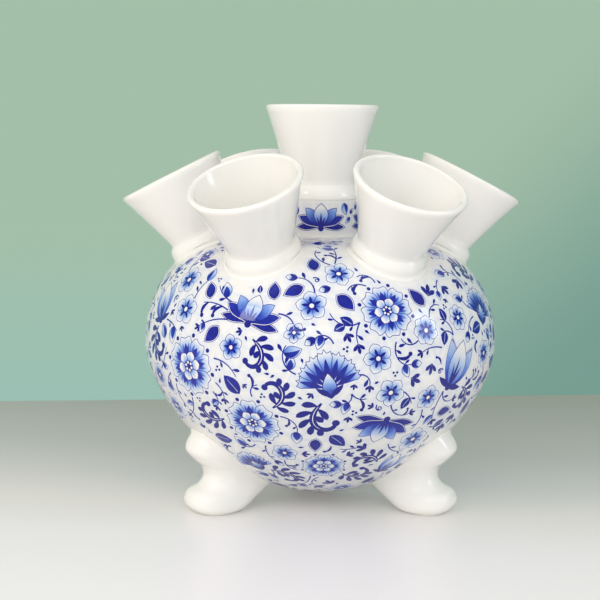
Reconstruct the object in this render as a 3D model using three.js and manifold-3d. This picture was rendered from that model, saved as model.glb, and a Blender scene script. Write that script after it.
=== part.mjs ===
// Tulip vase in glazed earthenware: a round hollow body on three scrolled feet,
// with one upright flower spout on a neck and a ring of six leaning spouts.
//
// Every piece is cast or pressed by itself and luted to the body before firing.
// Millimetres, +Z up. The origin is on the table, under the middle of the body.
// The front of the vase faces -Y. An azimuth of 0 is the front and 90 is +X.

import * as THREE from 'three';
import { mergeVertices } from 'three/addons/utils/BufferGeometryUtils.js';
import Module from 'manifold-3d';

// Body
const bodyRadius = 135;
const equatorHeight = 123.5;
const bodyWall = 5;
const baseRadius = 25;
const baseHeight = 9.2;
const baseRise = 3.4;          // degrees that the underside climbs where it leaves the base
const undersideReach = 49;     // length of the curve's handle at the base
const flankReachBelow = 42.5;  // the same at the equator, downwards
const flankReachAbove = 41;    // and upwards
const shoulderRadius = 100;
const shoulderHeight = 192.3;
const shoulderSlope = 34;      // degrees down from level at the shoulder
const shoulderReach = 11.4;
const crownHeight = 204.6;
const crownFlatRadius = 34;
const crownReach = 26;

// Small boss under the base, where the mould was filled
const bossRadius = 6.5;
const bossFloorGap = 0.8;
const bossRounding = 3;

// Neck, raised from the crown of the body to carry the upright spout
const neckRadius = 29.5;
const neckTop = 232;
const neckFillet = 2.5;
const neckEdge = 1.2;

// Upright spout
const centreRimRadius = 43;
const centreWaistRadius = 25.5;
const centreFunnelHeight = 59.6;
const centreCollarHeight = 11.2;

// Leaning spouts
const outerRimRadius = 41.3;
const outerWaistRadius = 24.4;
const outerFunnelHeight = 50;
const outerCollarHeight = 8.3;
const outerCollarRadius = 27.9;
const outerSpoutTilt = 27.1;       // degrees from upright
const outerSpoutSeatRadius = 88.8; // where a spout's axis passes through the body's surface
const firstSpoutAzimuth = 30;

const spoutWall = 4.6;
const funnelHollow = 0.7;      // how far the funnel's flank draws in from a straight cone
const collarSideShare = 0.1;   // share of the collar's height that is an upright side
const collarRoundShare = 0.45; // and the share over which its shoulder turns in
const waistFlare = 1.2;        // how far the collar's shoulder runs out below the waist

// Feet. Each row is one slice of the foot, from the sole upwards. Its outer and inner
// ends are given as [distance inwards from the toe, height], in shares of the foot's
// depth and height, and its width in a share of the foot's half width.
const footSetBack = 20.2;    // how far the toe lies inside the body's widest line
const footDepth = 69.5;
const footHeight = 68.5;
const footHalfWidth = 22;
const footSlices = [
  { outer: [0.106, 0], inner: [0.55, 0], width: 0.75 },
  { outer: [0.023, 0.068], inner: [0.632, 0.023], width: 0.91 },
  { outer: [0, 0.154], inner: [0.713, 0.067], width: 0.955 },
  { outer: [0.045, 0.241], inner: [0.809, 0.131], width: 0.93 },
  { outer: [0.165, 0.295], inner: [0.905, 0.199], width: 0.885 },
  { outer: [0.222, 0.392], inner: [0.973, 0.277], width: 0.865 },
  { outer: [0.19, 0.493], inner: [1, 0.388], width: 0.91 },
  { outer: [0.089, 0.592], inner: [1, 0.51], width: 0.977 },
  { outer: [0.012, 0.7], inner: [0.973, 0.645], width: 1 },
  { outer: [0.045, 0.815], inner: [0.891, 0.785], width: 0.93 },
  { outer: [0.16, 0.945], inner: [0.754, 0.93], width: 0.727 },
];
const footRoundness = 2.4;   // 2 gives oval slices, more gives squarer ones
const firstFootAzimuth = 60;

// Clay left between two luted pieces
const lutingGap = 0.3;

// How finely curves are divided, and how far a corner may reach when an outline is offset
const bodySides = 48;
const cavitySides = 36;
const spoutSides = 24;
const footSides = 20;
const footStepsPerSlice = 2;
const lowerCurveSteps = 9;
const upperCurveSteps = 6;
const crownCurveSteps = 4;
const roundingSteps = 3;
const edgeSteps = 1;
const leastCornerCosine = 0.5;

const white = { color: 0xf3f1ea, roughness: 0.12, metalness: 0 };
const outerSpoutNames = [
  'spout_front_right', 'spout_right', 'spout_back_right',
  'spout_back_left', 'spout_left', 'spout_front_left',
];
const footNames = ['foot_front_right', 'foot_back', 'foot_front_left'];

const wasm = await Module();
wasm.setup();

const radians = THREE.MathUtils.degToRad;
const point = (x, y) => new THREE.Vector2(x, y);

// Solids

function solidFrom(geometry) {
  const bare = geometry.clone();
  bare.deleteAttribute('normal');
  bare.deleteAttribute('uv');
  const welded = mergeVertices(bare, 1e-3);
  const index = welded.index.array;
  const kept = [];
  for (let i = 0; i < index.length; i += 3) {
    const [a, b, c] = [index[i], index[i + 1], index[i + 2]];
    if (a !== b && b !== c && c !== a) kept.push(a, b, c);
  }
  return new wasm.Manifold(new wasm.Mesh({
    numProp: 3,
    vertProperties: new Float32Array(welded.attributes.position.array),
    triVerts: new Uint32Array(kept),
  }));
}

function geometryFrom(solid) {
  const mesh = solid.getMesh();
  const geometry = new THREE.BufferGeometry();
  geometry.setAttribute('position', new THREE.BufferAttribute(mesh.vertProperties, 3));
  geometry.setIndex(new THREE.BufferAttribute(mesh.triVerts, 1));
  geometry.computeVertexNormals();
  return geometry;
}

// Turns an outline of (radius, height) points about the upright axis
function revolve(outline, sides) {
  const lathe = new THREE.LatheGeometry(outline, sides);
  lathe.rotateX(Math.PI / 2);
  return lathe;
}

// A plain round bar along the upright axis, for boring a hole
function bar(radius, bottom, top, sides) {
  return revolve([point(0, bottom), point(radius, bottom), point(radius, top), point(0, top)], sides);
}

// Joins rings of equally many points into one closed skin with a cap at each end
function loft(rings) {
  const count = rings[0].length;
  const positions = rings.flat().flatMap((p) => p.toArray());
  const index = [];
  for (let r = 0; r < rings.length - 1; r += 1) {
    for (let i = 0; i < count; i += 1) {
      const a = r * count + i;
      const b = r * count + (i + 1) % count;
      index.push(a, b, b + count, a, b + count, a + count);
    }
  }
  const last = (rings.length - 1) * count;
  for (let i = 1; i < count - 1; i += 1) {
    index.push(0, i + 1, i);
    index.push(last, last + i, last + i + 1);
  }
  const geometry = new THREE.BufferGeometry();
  geometry.setAttribute('position', new THREE.Float32BufferAttribute(positions, 3));
  geometry.setIndex(index);
  return geometry;
}

// Moves an outline outwards by a distance, or inwards where it is negative. The
// outline runs from the axis at the bottom to the axis at the top.
function offsetOutline(outline, distance) {
  const last = outline.length - 1;
  return outline.map((p, i) => {
    const before = outline[Math.max(i - 1, 0)];
    const after = outline[Math.min(i + 1, last)];
    const arriving = i === 0 ? point(1, 0) : p.clone().sub(before).normalize();
    const leaving = i === last ? point(-1, 0) : after.clone().sub(p).normalize();
    const along = arriving.clone().add(leaving).normalize();
    const reach = distance / Math.max(along.dot(arriving), leastCornerCosine);
    return point(Math.max(p.x + along.y * reach, 0), p.y - along.x * reach);
  });
}

// Body

// The closed egg of the body without neck or boss, from the base up to the crown
function shellOutline() {
  const lift = crownHeight - shoulderHeight;
  const slope = radians(shoulderSlope);
  const rise = radians(baseRise);
  const lower = new THREE.CubicBezierCurve(
    point(baseRadius, baseHeight),
    point(baseRadius + undersideReach * Math.cos(rise), baseHeight + undersideReach * Math.sin(rise)),
    point(bodyRadius, equatorHeight - flankReachBelow),
    point(bodyRadius, equatorHeight),
  );
  const upper = new THREE.CubicBezierCurve(
    point(bodyRadius, equatorHeight),
    point(bodyRadius, equatorHeight + flankReachAbove),
    point(
      shoulderRadius + shoulderReach * Math.cos(slope),
      shoulderHeight - shoulderReach * Math.sin(slope),
    ),
    point(shoulderRadius, shoulderHeight),
  );
  const crown = new THREE.CubicBezierCurve(
    point(shoulderRadius, shoulderHeight),
    point(shoulderRadius - lift / Math.tan(slope), crownHeight),
    point(crownFlatRadius + crownReach, crownHeight),
    point(crownFlatRadius, crownHeight),
  );
  return [
    point(0, baseHeight),
    ...lower.getPoints(lowerCurveSteps),
    ...upper.getPoints(upperCurveSteps).slice(1),
    ...crown.getPoints(crownCurveSteps).slice(1),
    point(0, crownHeight),
  ];
}

// Height of the body's surface at a distance from the axis, on the shoulder or crown
function surfaceHeight(radius) {
  const outline = shellOutline().reverse();
  const outside = outline.findIndex((p) => p.x >= radius);
  const a = outline[outside - 1];
  const b = outline[outside];
  return THREE.MathUtils.mapLinear(radius, a.x, b.x, a.y, b.y);
}

function neck() {
  const foot = crownHeight - bodyWall / 2;
  const outline = new THREE.Path();
  outline.moveTo(0, foot);
  outline.lineTo(neckRadius + neckFillet, foot);
  outline.lineTo(neckRadius + neckFillet, crownHeight);
  outline.absarc(neckRadius + neckFillet, crownHeight + neckFillet, neckFillet, -Math.PI / 2, Math.PI, true);
  outline.lineTo(neckRadius, neckTop - neckEdge);
  outline.absarc(neckRadius - neckEdge, neckTop - neckEdge, neckEdge, 0, Math.PI / 2, false);
  outline.lineTo(0, neckTop);
  return revolve(outline.getPoints(edgeSteps), bodySides);
}

function boss() {
  const root = baseHeight + bodyWall / 2;
  const flatRadius = bossRadius - bossRounding;
  const outline = new THREE.Path();
  outline.moveTo(0, bossFloorGap);
  outline.lineTo(flatRadius, bossFloorGap);
  outline.absarc(flatRadius, bossFloorGap + bossRounding, bossRounding, -Math.PI / 2, 0, false);
  outline.lineTo(bossRadius, root);
  outline.lineTo(0, root);
  return revolve(outline.getPoints(edgeSteps), spoutSides);
}

function body() {
  const outline = shellOutline();
  const inside = offsetOutline(outline, -bodyWall);
  const throughNeck = bar(centreWaistRadius - spoutWall, equatorHeight, neckTop + bodyWall, spoutSides);
  let clay = solidFrom(revolve(outline, bodySides))
    .add(solidFrom(neck()))
    .add(solidFrom(boss()))
    .subtract(solidFrom(revolve(inside, cavitySides)))
    .subtract(solidFrom(throughNeck));
  const bore = bar(outerWaistRadius - spoutWall, -outerSpoutLength() / 2, outerSpoutLength(), spoutSides);
  bore.applyMatrix4(outerSpoutPlace());
  outerSpoutNames.forEach((name, i) => {
    const turned = bore.clone().applyMatrix4(turn(spoutAzimuth(i)));
    clay = clay.subtract(solidFrom(turned));
  });
  return geometryFrom(clay);
}

// Spouts

// One spout, upright, with its seat level at height 0. The collar runs down below the
// seat by rootDepth, so that it can be cut to the surface that it stands on.
function spout({ rimRadius, waistRadius, funnelHeight, collarHeight, collarRadius, rootDepth }) {
  const lip = spoutWall / 2;
  const rim = collarHeight + funnelHeight;
  const boreRadius = waistRadius - spoutWall;
  const midHeight = collarHeight + funnelHeight / 2;
  const midRadius = (rimRadius + waistRadius) / 2 - funnelHollow;
  const side = collarHeight * collarSideShare;
  const round = collarHeight * collarRoundShare;
  const outline = new THREE.Path();
  outline.moveTo(boreRadius, -rootDepth);
  outline.lineTo(collarRadius, -rootDepth);
  outline.lineTo(collarRadius, side);
  outline.bezierCurveTo(
    collarRadius, side + round,
    waistRadius + waistFlare, collarHeight - round / 2,
    waistRadius, collarHeight,
  );
  outline.quadraticCurveTo(midRadius, midHeight, rimRadius, rim - lip);
  outline.absarc(rimRadius - lip, rim - lip, lip, 0, Math.PI, false);
  outline.quadraticCurveTo(midRadius - spoutWall, midHeight, boreRadius, collarHeight);
  outline.lineTo(boreRadius, -rootDepth);
  return revolve(outline.getPoints(roundingSteps), spoutSides);
}

function centreSpout() {
  return geometryFrom(solidFrom(spout({
    rimRadius: centreRimRadius,
    waistRadius: centreWaistRadius,
    funnelHeight: centreFunnelHeight,
    collarHeight: centreCollarHeight,
    collarRadius: neckRadius,
    rootDepth: 0,
  })));
}

function outerSpoutLength() {
  return outerCollarHeight + outerFunnelHeight;
}

function spoutAzimuth(i) {
  return firstSpoutAzimuth + i * 360 / outerSpoutNames.length;
}

// Turns a piece made at the front of the vase round to its azimuth
function turn(azimuth) {
  return new THREE.Matrix4().makeRotationZ(radians(azimuth));
}

// Where a leaning spout stands when its azimuth is 0: its seat is on the body's surface
function outerSpoutPlace() {
  const seat = new THREE.Vector3(0, -outerSpoutSeatRadius, surfaceHeight(outerSpoutSeatRadius));
  return new THREE.Matrix4().makeRotationX(radians(outerSpoutTilt)).setPosition(seat);
}

// The body's outside with the luting gap round it, closed, for cutting what sits on it
function seatCutter() {
  return revolve(offsetOutline(shellOutline(), lutingGap), bodySides);
}

function outerSpout() {
  const standing = solidFrom(spout({
    rimRadius: outerRimRadius,
    waistRadius: outerWaistRadius,
    funnelHeight: outerFunnelHeight,
    collarHeight: outerCollarHeight,
    collarRadius: outerCollarRadius,
    rootDepth: outerCollarRadius * Math.tan(radians(outerSpoutTilt)) + bodyWall,
  }));
  const toSpout = turn(firstSpoutAzimuth).multiply(outerSpoutPlace()).invert();
  return geometryFrom(standing.subtract(solidFrom(seatCutter().applyMatrix4(toSpout))));
}

// Feet

// One slice of the foot: a rounded oval between its outer and inner end
function footRing(outer, inner, halfWidth) {
  const middle = outer.clone().add(inner).multiplyScalar(0.5);
  const half = outer.clone().sub(inner).multiplyScalar(0.5);
  const rounded = (value) => Math.sign(value) * Math.abs(value) ** (2 / footRoundness);
  const ring = [];
  for (let i = 0; i < footSides; i += 1) {
    const angle = i * 2 * Math.PI / footSides;
    const along = rounded(Math.cos(angle));
    const across = rounded(Math.sin(angle)) * halfWidth;
    ring.push(new THREE.Vector3(
      across,
      -(middle.x + half.x * along),
      middle.y + half.y * along,
    ));
  }
  return ring;
}

function foot() {
  const toe = bodyRadius - footSetBack;
  const place = ([inwards, up]) => point(toe - inwards * footDepth, up * footHeight);
  const outerLine = new THREE.SplineCurve(footSlices.map((slice) => place(slice.outer)));
  const innerLine = new THREE.SplineCurve(footSlices.map((slice) => place(slice.inner)));
  const widthLine = new THREE.SplineCurve(
    footSlices.map((slice, i) => point(i, slice.width * footHalfWidth)),
  );
  const steps = (footSlices.length - 1) * footStepsPerSlice;
  const rings = [];
  for (let i = 0; i <= steps; i += 1) {
    const t = i / steps;
    rings.push(footRing(outerLine.getPoint(t), innerLine.getPoint(t), widthLine.getPoint(t).y));
  }
  const cutter = seatCutter().applyMatrix4(turn(firstFootAzimuth).invert());
  return geometryFrom(solidFrom(loft(rings)).subtract(solidFrom(cutter)));
}

// Assembly

function mesh(name, geometry) {
  const piece = new THREE.Mesh(geometry, new THREE.MeshStandardMaterial(white));
  piece.name = name;
  return piece;
}

function turned(azimuth, piece) {
  const group = new THREE.Group();
  group.rotation.z = radians(azimuth);
  group.add(piece);
  return group;
}

const vase = new THREE.Group();
vase.name = 'tulip_vase';
vase.add(mesh('vase_body', body()));

const centre = mesh('centre_spout', centreSpout());
centre.position.z = neckTop + lutingGap;
vase.add(centre);

const outerSpoutGeometry = outerSpout();
outerSpoutNames.forEach((name, i) => {
  const piece = mesh(name, outerSpoutGeometry);
  piece.rotation.x = radians(outerSpoutTilt);
  piece.position.set(0, -outerSpoutSeatRadius, surfaceHeight(outerSpoutSeatRadius));
  vase.add(turned(spoutAzimuth(i), piece));
});

const footGeometry = foot();
footNames.forEach((name, i) => {
  const azimuth = firstFootAzimuth + i * 360 / footNames.length;
  vase.add(turned(azimuth, mesh(name, footGeometry)));
});

export default vase;
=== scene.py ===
# %% [markdown]
# # A tulip vase in blue and white
# The real object is a tulip vase: a round hollow body on three scrolled feet, with one
# upright flower spout on a neck and a ring of six leaning spouts. It is white glazed
# earthenware, and the body and neck are painted in cobalt blue. This lesson dresses the
# vase's plain solids in smooth glazed pieces and paints them.

# %% Load the solids
import math
import random

import bpy
import numpy as np
from mathutils import Matrix, Vector
from mathutils.geometry import delaunay_2d_cdt


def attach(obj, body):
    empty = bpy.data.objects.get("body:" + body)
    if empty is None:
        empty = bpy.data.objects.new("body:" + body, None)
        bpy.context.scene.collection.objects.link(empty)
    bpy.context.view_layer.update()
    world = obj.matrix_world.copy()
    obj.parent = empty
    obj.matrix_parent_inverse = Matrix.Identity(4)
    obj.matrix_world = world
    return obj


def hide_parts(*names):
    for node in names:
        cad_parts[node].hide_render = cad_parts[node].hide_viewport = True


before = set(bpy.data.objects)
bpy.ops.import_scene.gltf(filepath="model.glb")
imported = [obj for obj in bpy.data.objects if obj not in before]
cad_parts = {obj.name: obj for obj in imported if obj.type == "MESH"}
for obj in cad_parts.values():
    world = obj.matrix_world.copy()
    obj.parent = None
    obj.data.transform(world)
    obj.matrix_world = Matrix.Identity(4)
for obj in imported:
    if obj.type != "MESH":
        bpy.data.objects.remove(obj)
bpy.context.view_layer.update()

MM = 0.001

# %% [markdown]
# ## The camera
# A lens of 78 mm on a 36 mm sensor stands about a metre off, a little above the spouts,
# and looks down by eight degrees. It could be aimed with a Track To constraint, but a
# matrix made from the three directions also holds the slight roll of a hand-held shot.

# %% Place the camera
LENS, SENSOR = 78, 36                      # millimetres
CAMERA_PLACE = (-0.0453, -0.9961, 0.293)   # metres
heading, pitch, roll = (math.radians(a) for a in (1.7, 7.99, 0.54))
camera_data = bpy.data.cameras.new("camera")
camera_data.lens, camera_data.sensor_width = LENS, SENSOR
camera = bpy.data.objects.new("camera", camera_data)
bpy.context.scene.collection.objects.link(camera)
bpy.context.scene.camera = camera

forward = Vector((math.sin(heading) * math.cos(pitch),
                  math.cos(heading) * math.cos(pitch), -math.sin(pitch)))
level = Vector((math.cos(heading), -math.sin(heading), 0))
upward = level.cross(forward)
right = level * math.cos(roll) + upward * math.sin(roll)
upward = right.cross(forward)
camera.matrix_world = Matrix.Translation(CAMERA_PLACE) @ Matrix(
    (right, upward, -forward)).transposed().to_4x4()
print("camera height in mm:", round(camera.location.z / MM))

# %% [markdown]
# ## Helpers for work by hand
# An operator acts on everything that is selected, so each new piece starts from an empty
# selection. A round piece could be spun from a line of points. Here a circle is extruded
# ring by ring and each new ring is resized, as a potter pulls a wall up, because then
# every ring keeps the height and radius that its outline gives.

# %% Select, extrude and resize
WELD = 0.01   # points closer than this become one, in millimetres


def start_piece(name):
    """Names the primitive that was just added and gives it back in edit mode."""
    piece = bpy.context.active_object
    piece.name = piece.data.name = name
    bpy.ops.object.mode_set(mode="EDIT")
    bpy.ops.mesh.select_all(action="SELECT")
    return piece


def pull_up(name, outline, sides):
    """Extrudes a circle through an outline of (radius, height) points in millimetres."""
    radius, height = outline[0]
    bpy.ops.object.select_all(action="DESELECT")
    bpy.ops.mesh.primitive_circle_add(vertices=sides, radius=radius * MM)
    piece = start_piece(name)
    bpy.ops.transform.translate(value=(0, 0, height * MM))
    for next_radius, next_height in outline[1:]:
        bpy.ops.mesh.extrude_region_move(
            TRANSFORM_OT_translate={"value": (0, 0, (next_height - height) * MM)})
        grow = next_radius / radius
        bpy.ops.transform.resize(value=(grow, grow, 1), center_override=(0, 0, 0))
        radius, height = next_radius, next_height
    bpy.ops.object.mode_set(mode="OBJECT")
    return piece


def close_up():
    """Welds the active piece's closed skin and turns its faces outwards."""
    bpy.ops.object.mode_set(mode="EDIT")
    bpy.ops.mesh.select_all(action="SELECT")
    bpy.ops.mesh.remove_doubles(threshold=WELD * MM)
    bpy.ops.mesh.normals_make_consistent(inside=False)
    bpy.ops.object.mode_set(mode="OBJECT")
    bpy.ops.object.shade_smooth()


def cap_ends():
    """Closes both ends of the active tube with a face."""
    bpy.ops.object.mode_set(mode="EDIT")
    bpy.ops.mesh.select_all(action="SELECT")
    bpy.ops.mesh.select_mode(type="EDGE")
    bpy.ops.mesh.region_to_loop()
    bpy.ops.mesh.fill_holes(sides=0)
    bpy.ops.object.mode_set(mode="OBJECT")


def copy_of(piece, name, stand):
    """A copy of a piece with its own mesh, which holds its place on the vase."""
    copy = bpy.data.objects.new(name, piece.data.copy())
    bpy.context.scene.collection.objects.link(copy)
    copy.data.transform(stand)
    return copy


def hand_in(piece, nodes, material):
    """Puts a finished piece in place of its solids."""
    piece.data.materials.clear()
    piece.data.materials.append(material)
    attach(piece, "root")
    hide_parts(*nodes)
    print(f"{piece.name}: {len(piece.data.polygons)} faces")


# %% Draw curves and arcs
def bezier(points, steps):
    """Points along a curve with two, three or four control points."""
    t = np.linspace(0, 1, steps + 1)[:, None]
    points = [np.asarray(p, float) for p in points]
    while len(points) > 1:
        points = [a + (b - a) * t for a, b in zip(points, points[1:])]
    return points[0]


def arc(centre, radius, start, end, steps):
    """Points round part of a circle, with angles in degrees."""
    a = np.radians(np.linspace(start, end, steps + 1))
    return np.stack([centre[0] + radius * np.cos(a), centre[1] + radius * np.sin(a)], 1)


# %% [markdown]
# ## The body's outline
# The body was cast in a mould, so one outline turned about the upright axis gives it all.
# The outline starts under the small boss at the base, climbs the belly, rounds the
# shoulder, runs up the neck, goes down the bore and follows the inner wall to the floor.
# Three long curves are enough for the belly, shoulder and crown, and they are the same
# ones that the solids have.

# %% Draw the body's outline
BODY_RADIUS, BELLY_HEIGHT = 135.0, 123.5
BASE_RADIUS, BASE_HEIGHT, BASE_RISE = 25, 9.2, math.radians(3.4)
SHOULDER_RADIUS, SHOULDER_HEIGHT, SLOPE = 100, 192.3, math.radians(34)
CROWN_RADIUS, CROWN_HEIGHT = 34, 204.6
NECK_RADIUS, NECK_TOP, NECK_FILLET = 29.5, 232.0, 2.5
BODY_WALL, BORE, BORE_FOOT = 5.0, 20.9, 199.6
base_pull, shoulder_pull = 49, 11.4   # how far a curve's end pulls on it
belly = (BODY_RADIUS, BELLY_HEIGHT)
shoulder = (SHOULDER_RADIUS, SHOULDER_HEIGHT)
lower = bezier([(BASE_RADIUS, BASE_HEIGHT),
                (BASE_RADIUS + base_pull * math.cos(BASE_RISE),
                 BASE_HEIGHT + base_pull * math.sin(BASE_RISE)),
                (BODY_RADIUS, BELLY_HEIGHT - 42.5), belly], 160)
upper = bezier([belly, (BODY_RADIUS, BELLY_HEIGHT + 41),
                (SHOULDER_RADIUS + shoulder_pull * math.cos(SLOPE),
                 SHOULDER_HEIGHT - shoulder_pull * math.sin(SLOPE)), shoulder], 90)
run_in = (CROWN_HEIGHT - SHOULDER_HEIGHT) / math.tan(SLOPE)
crown = bezier([shoulder, (SHOULDER_RADIUS - run_in, CROWN_HEIGHT),
                (CROWN_RADIUS + 26, CROWN_HEIGHT), (CROWN_RADIUS, CROWN_HEIGHT)], 70)
egg = np.concatenate([lower, upper[1:], crown[1:]])


def across_of(line):
    """The direction to the left of a line at each of its points."""
    along = np.gradient(line, axis=0)
    along /= np.linalg.norm(along, axis=1)[:, None]
    return np.stack([-along[:, 1], along[:, 0]], 1)


def offset(line, distance):
    """Moves a line to its right by a distance."""
    return line - distance * across_of(line)


def lengths(line):
    """The length of each piece of a line."""
    return np.linalg.norm(np.diff(line, axis=0), axis=1)


def ways_along(line):
    """How far along a line each of its points lies."""
    return np.concatenate([[0], np.cumsum(lengths(line))])


inner_wall = offset(egg, -BODY_WALL)[::-1]
inner_wall = inner_wall[inner_wall[:, 0] > BORE + 1.1]
floor_height = BASE_HEIGHT + BODY_WALL
parts = {
    "boss": np.concatenate([[(1.5, 0.8), (3.4, 0.8)], arc((3.5, 3.8), 3, -85, 0, 6),
                            [(6.5, 7.6)], arc((8.1, 7.6), 1.6, 170, 90, 5)]),
    "outside": egg,
    "neck_fillet": arc((NECK_RADIUS + NECK_FILLET, CROWN_HEIGHT + NECK_FILLET), NECK_FILLET,
                       270, 180, 8),
    "neck": np.array([(NECK_RADIUS, CROWN_HEIGHT + 2.8), (NECK_RADIUS, NECK_TOP - 0.4)]),
    "neck_edge": arc((NECK_RADIUS - 0.3, NECK_TOP - 0.3), 0.3, 0, 90, 3),
    "bore": np.array([(24, NECK_TOP), (BORE + 0.4, NECK_TOP), (BORE, NECK_TOP - 0.4),
                      (BORE, BORE_FOOT + 0.6), (BORE + 0.6, BORE_FOOT)]),
    "inside": inner_wall,
    "floor": np.array([(14, floor_height), (3, floor_height)]),
}
outline = np.concatenate(list(parts.values()))
outline = outline[np.concatenate([[True], lengths(outline) > 1e-6])]   # no point twice
run = ways_along(outline)
mean_radius = (outline[1:, 0] + outline[:-1, 0]) / 2
chart_y = np.concatenate([[0], np.cumsum(lengths(outline) / mean_radius)]) * BODY_RADIUS


def run_at(part, index=0):
    """How far along the outline a part's point lies."""
    target = parts[part][index]
    return run[np.argmin(np.linalg.norm(outline - target, axis=1))]


def shoulder_height(radius):
    """Height of the outside on the shoulder and crown."""
    top = np.concatenate([upper, crown[1:]])[::-1]
    return np.interp(radius, top[:, 0], top[:, 1])


print("outline:", len(outline), "points,", round(run[-1]), "mm long, outside",
      round(run_at("outside", -1) - run_at("outside")), "mm")

# %% [markdown]
# ## Glaze
# Tin glaze is a glassy white coat a fraction of a millimetre thick. It is never dead flat:
# it pools and ripples a little, and its white drifts between warm and cool. Both the white
# and the painted pieces have it, so the drift and the ripple are one node group with named
# inputs. Noise on Object coordinates is enough, since the effect has no direction.


# %% Build the glaze group
def feed(tree, receiver, **settings):
    """Sets a node's properties, and its inputs by name or number after in_.

    An input takes a value or another node's output.
    """
    for key, value in settings.items():
        if not key.startswith("in_"):
            setattr(receiver, key, value)
            continue
        name = key[3:].replace("_", " ")
        socket = receiver.inputs[int(name) if name.isdigit() else name]
        if isinstance(value, bpy.types.NodeSocket):
            tree.links.new(value, socket)
        else:
            socket.default_value = value
    return receiver


def node(tree, kind, **settings):
    """Adds a node with its settings."""
    return feed(tree, tree.nodes.new(kind), **settings)


def maths(tree, operation, *values, **settings):
    """The output of a Math node that works on two or three values."""
    inputs = {f"in_{i}": value for i, value in enumerate(values)}
    return node(tree, "ShaderNodeMath", operation=operation, **settings, **inputs).outputs[0]


def glaze_group():
    """Tint, roughness and height of a glaze that has pooled and rippled."""
    group = bpy.data.node_groups.new("glaze_skin", "ShaderNodeTree")
    for in_out, name, kind in (("INPUT", "White", "Color"), ("INPUT", "Drift", "Float"),
                               ("INPUT", "Ripple", "Float"), ("INPUT", "Peel", "Float"),
                               ("OUTPUT", "Color", "Color"), ("OUTPUT", "Roughness", "Float"),
                               ("OUTPUT", "Height", "Float")):
        group.interface.new_socket(name, in_out=in_out, socket_type="NodeSocket" + kind)
    given = node(group, "NodeGroupInput").outputs
    spot = node(group, "ShaderNodeTexCoord").outputs["Object"]

    def cloud(scale, detail):
        return node(group, "ShaderNodeTexNoise", in_Vector=spot, in_Scale=scale,
                    in_Detail=detail).outputs["Fac"]

    slow, middle, fine = cloud(14, 2), cloud(60, 2), cloud(520, 1)
    tint = node(group, "ShaderNodeMix", data_type="RGBA", blend_type="MULTIPLY",
                in_Factor=maths(group, "MULTIPLY", slow, given["Drift"]),
                in_A=given["White"], in_B=COOL_WHITE)
    gloss = node(group, "ShaderNodeMapRange", in_Value=middle, in_To_Min=0.03, in_To_Max=0.07)
    waves = maths(group, "MULTIPLY", slow, given["Ripple"])
    node(group, "NodeGroupOutput", in_Color=tint.outputs["Result"],
         in_Roughness=gloss.outputs["Result"],
         in_Height=maths(group, "MULTIPLY_ADD", fine, given["Peel"], waves))
    return group


PLAIN_WHITE = (0.89, 0.875, 0.82, 1)
# The body's white is a little cooler than the spouts', which is its own colour, and also darker, as
# painted shade that evens out the stronger light on the body's front.
SHADED_BODY_WHITE = (0.812, 0.80, 0.768, 1)
COOL_WHITE = (0.93, 0.945, 0.965, 1)   # what the white is multiplied by where it drifts
GLAZE = glaze_group()
print("group:", GLAZE.name, "with", len(GLAZE.nodes), "nodes")

# %% [markdown]
# ## White glaze and painted glaze
# The white glaze takes the group's colour as it is. The painted one reads an amount of
# pigment that is stored on the mesh, from 0 on bare white to 1 where the brush was fullest.
# Noise thins and thickens it as a wash of colour does, and a colour ramp turns it into the
# blues: thin cobalt is pale and a little green, thick cobalt is near black.


# %% Mix the two glazes
def glazed(name, white, coat, drift, ripple, peel):
    """A glaze material, with its tree, shader and the outputs of the group that feeds it."""
    material = bpy.data.materials.new(name)
    material.use_nodes = True
    tree = material.node_tree
    skin = node(tree, "ShaderNodeGroup", node_tree=GLAZE, in_White=white, in_Drift=drift,
                in_Ripple=ripple, in_Peel=peel).outputs
    bump = node(tree, "ShaderNodeBump", in_Strength=0.5, in_Distance=0.001,
                in_Height=skin["Height"])
    shader = feed(tree, tree.nodes["Principled BSDF"], in_IOR=1.5, in_Coat_Weight=coat,
                  in_Coat_Roughness=0.04, in_Normal=bump.outputs["Normal"],
                  in_Roughness=skin["Roughness"], in_Base_Color=skin["Color"])
    return material, tree, shader, skin


def colour_ramp(tree, value, stops):
    """The colour that a ramp of (place, colour) stops gives a value."""
    made = node(tree, "ShaderNodeValToRGB", in_Fac=value)
    marks = made.color_ramp.elements
    for i, (position, colour) in enumerate(stops):
        stop = marks[i] if i < 2 else marks.new(position)
        stop.position, stop.color = position, (*colour, 1)
    return made.outputs["Color"]


white_glaze = glazed("white_glaze", PLAIN_WHITE, 0.25, 0.5, 1.0, 0.02)[0]
painted_glaze, tree, shader, skin = glazed("painted_glaze", SHADED_BODY_WHITE, 0.05, 0.4, 0.6, 0.02)

COBALT = [  # pigment, colour
    (0.0, (1.0, 1.0, 1.0)),
    (0.10, (0.58, 0.73, 1.0)),
    (0.30, (0.185, 0.35, 0.88)),
    (0.52, (0.034, 0.095, 0.61)),
    (0.74, (0.005, 0.020, 0.41)),
    (1.0, (0.002, 0.006, 0.28)),
]
pigment = node(tree, "ShaderNodeAttribute", attribute_name="pigment")
spot = node(tree, "ShaderNodeTexCoord")
wash = node(tree, "ShaderNodeTexNoise", in_Vector=spot.outputs["Object"], in_Scale=260,
            in_Detail=3)
strength = node(tree, "ShaderNodeMapRange", in_Value=wash.outputs["Fac"], in_To_Min=0.78,
                in_To_Max=1.22)
laid_on = maths(tree, "MULTIPLY", pigment.outputs["Fac"], strength.outputs["Result"],
                 use_clamp=True)
over = node(tree, "ShaderNodeMix", data_type="RGBA", blend_type="MULTIPLY", in_Factor=1,
            in_A=skin["Color"], in_B=colour_ramp(tree, laid_on, COBALT))
feed(tree, shader, in_Base_Color=over.outputs["Result"])
print("glazes:", white_glaze.name, painted_glaze.name)

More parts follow.
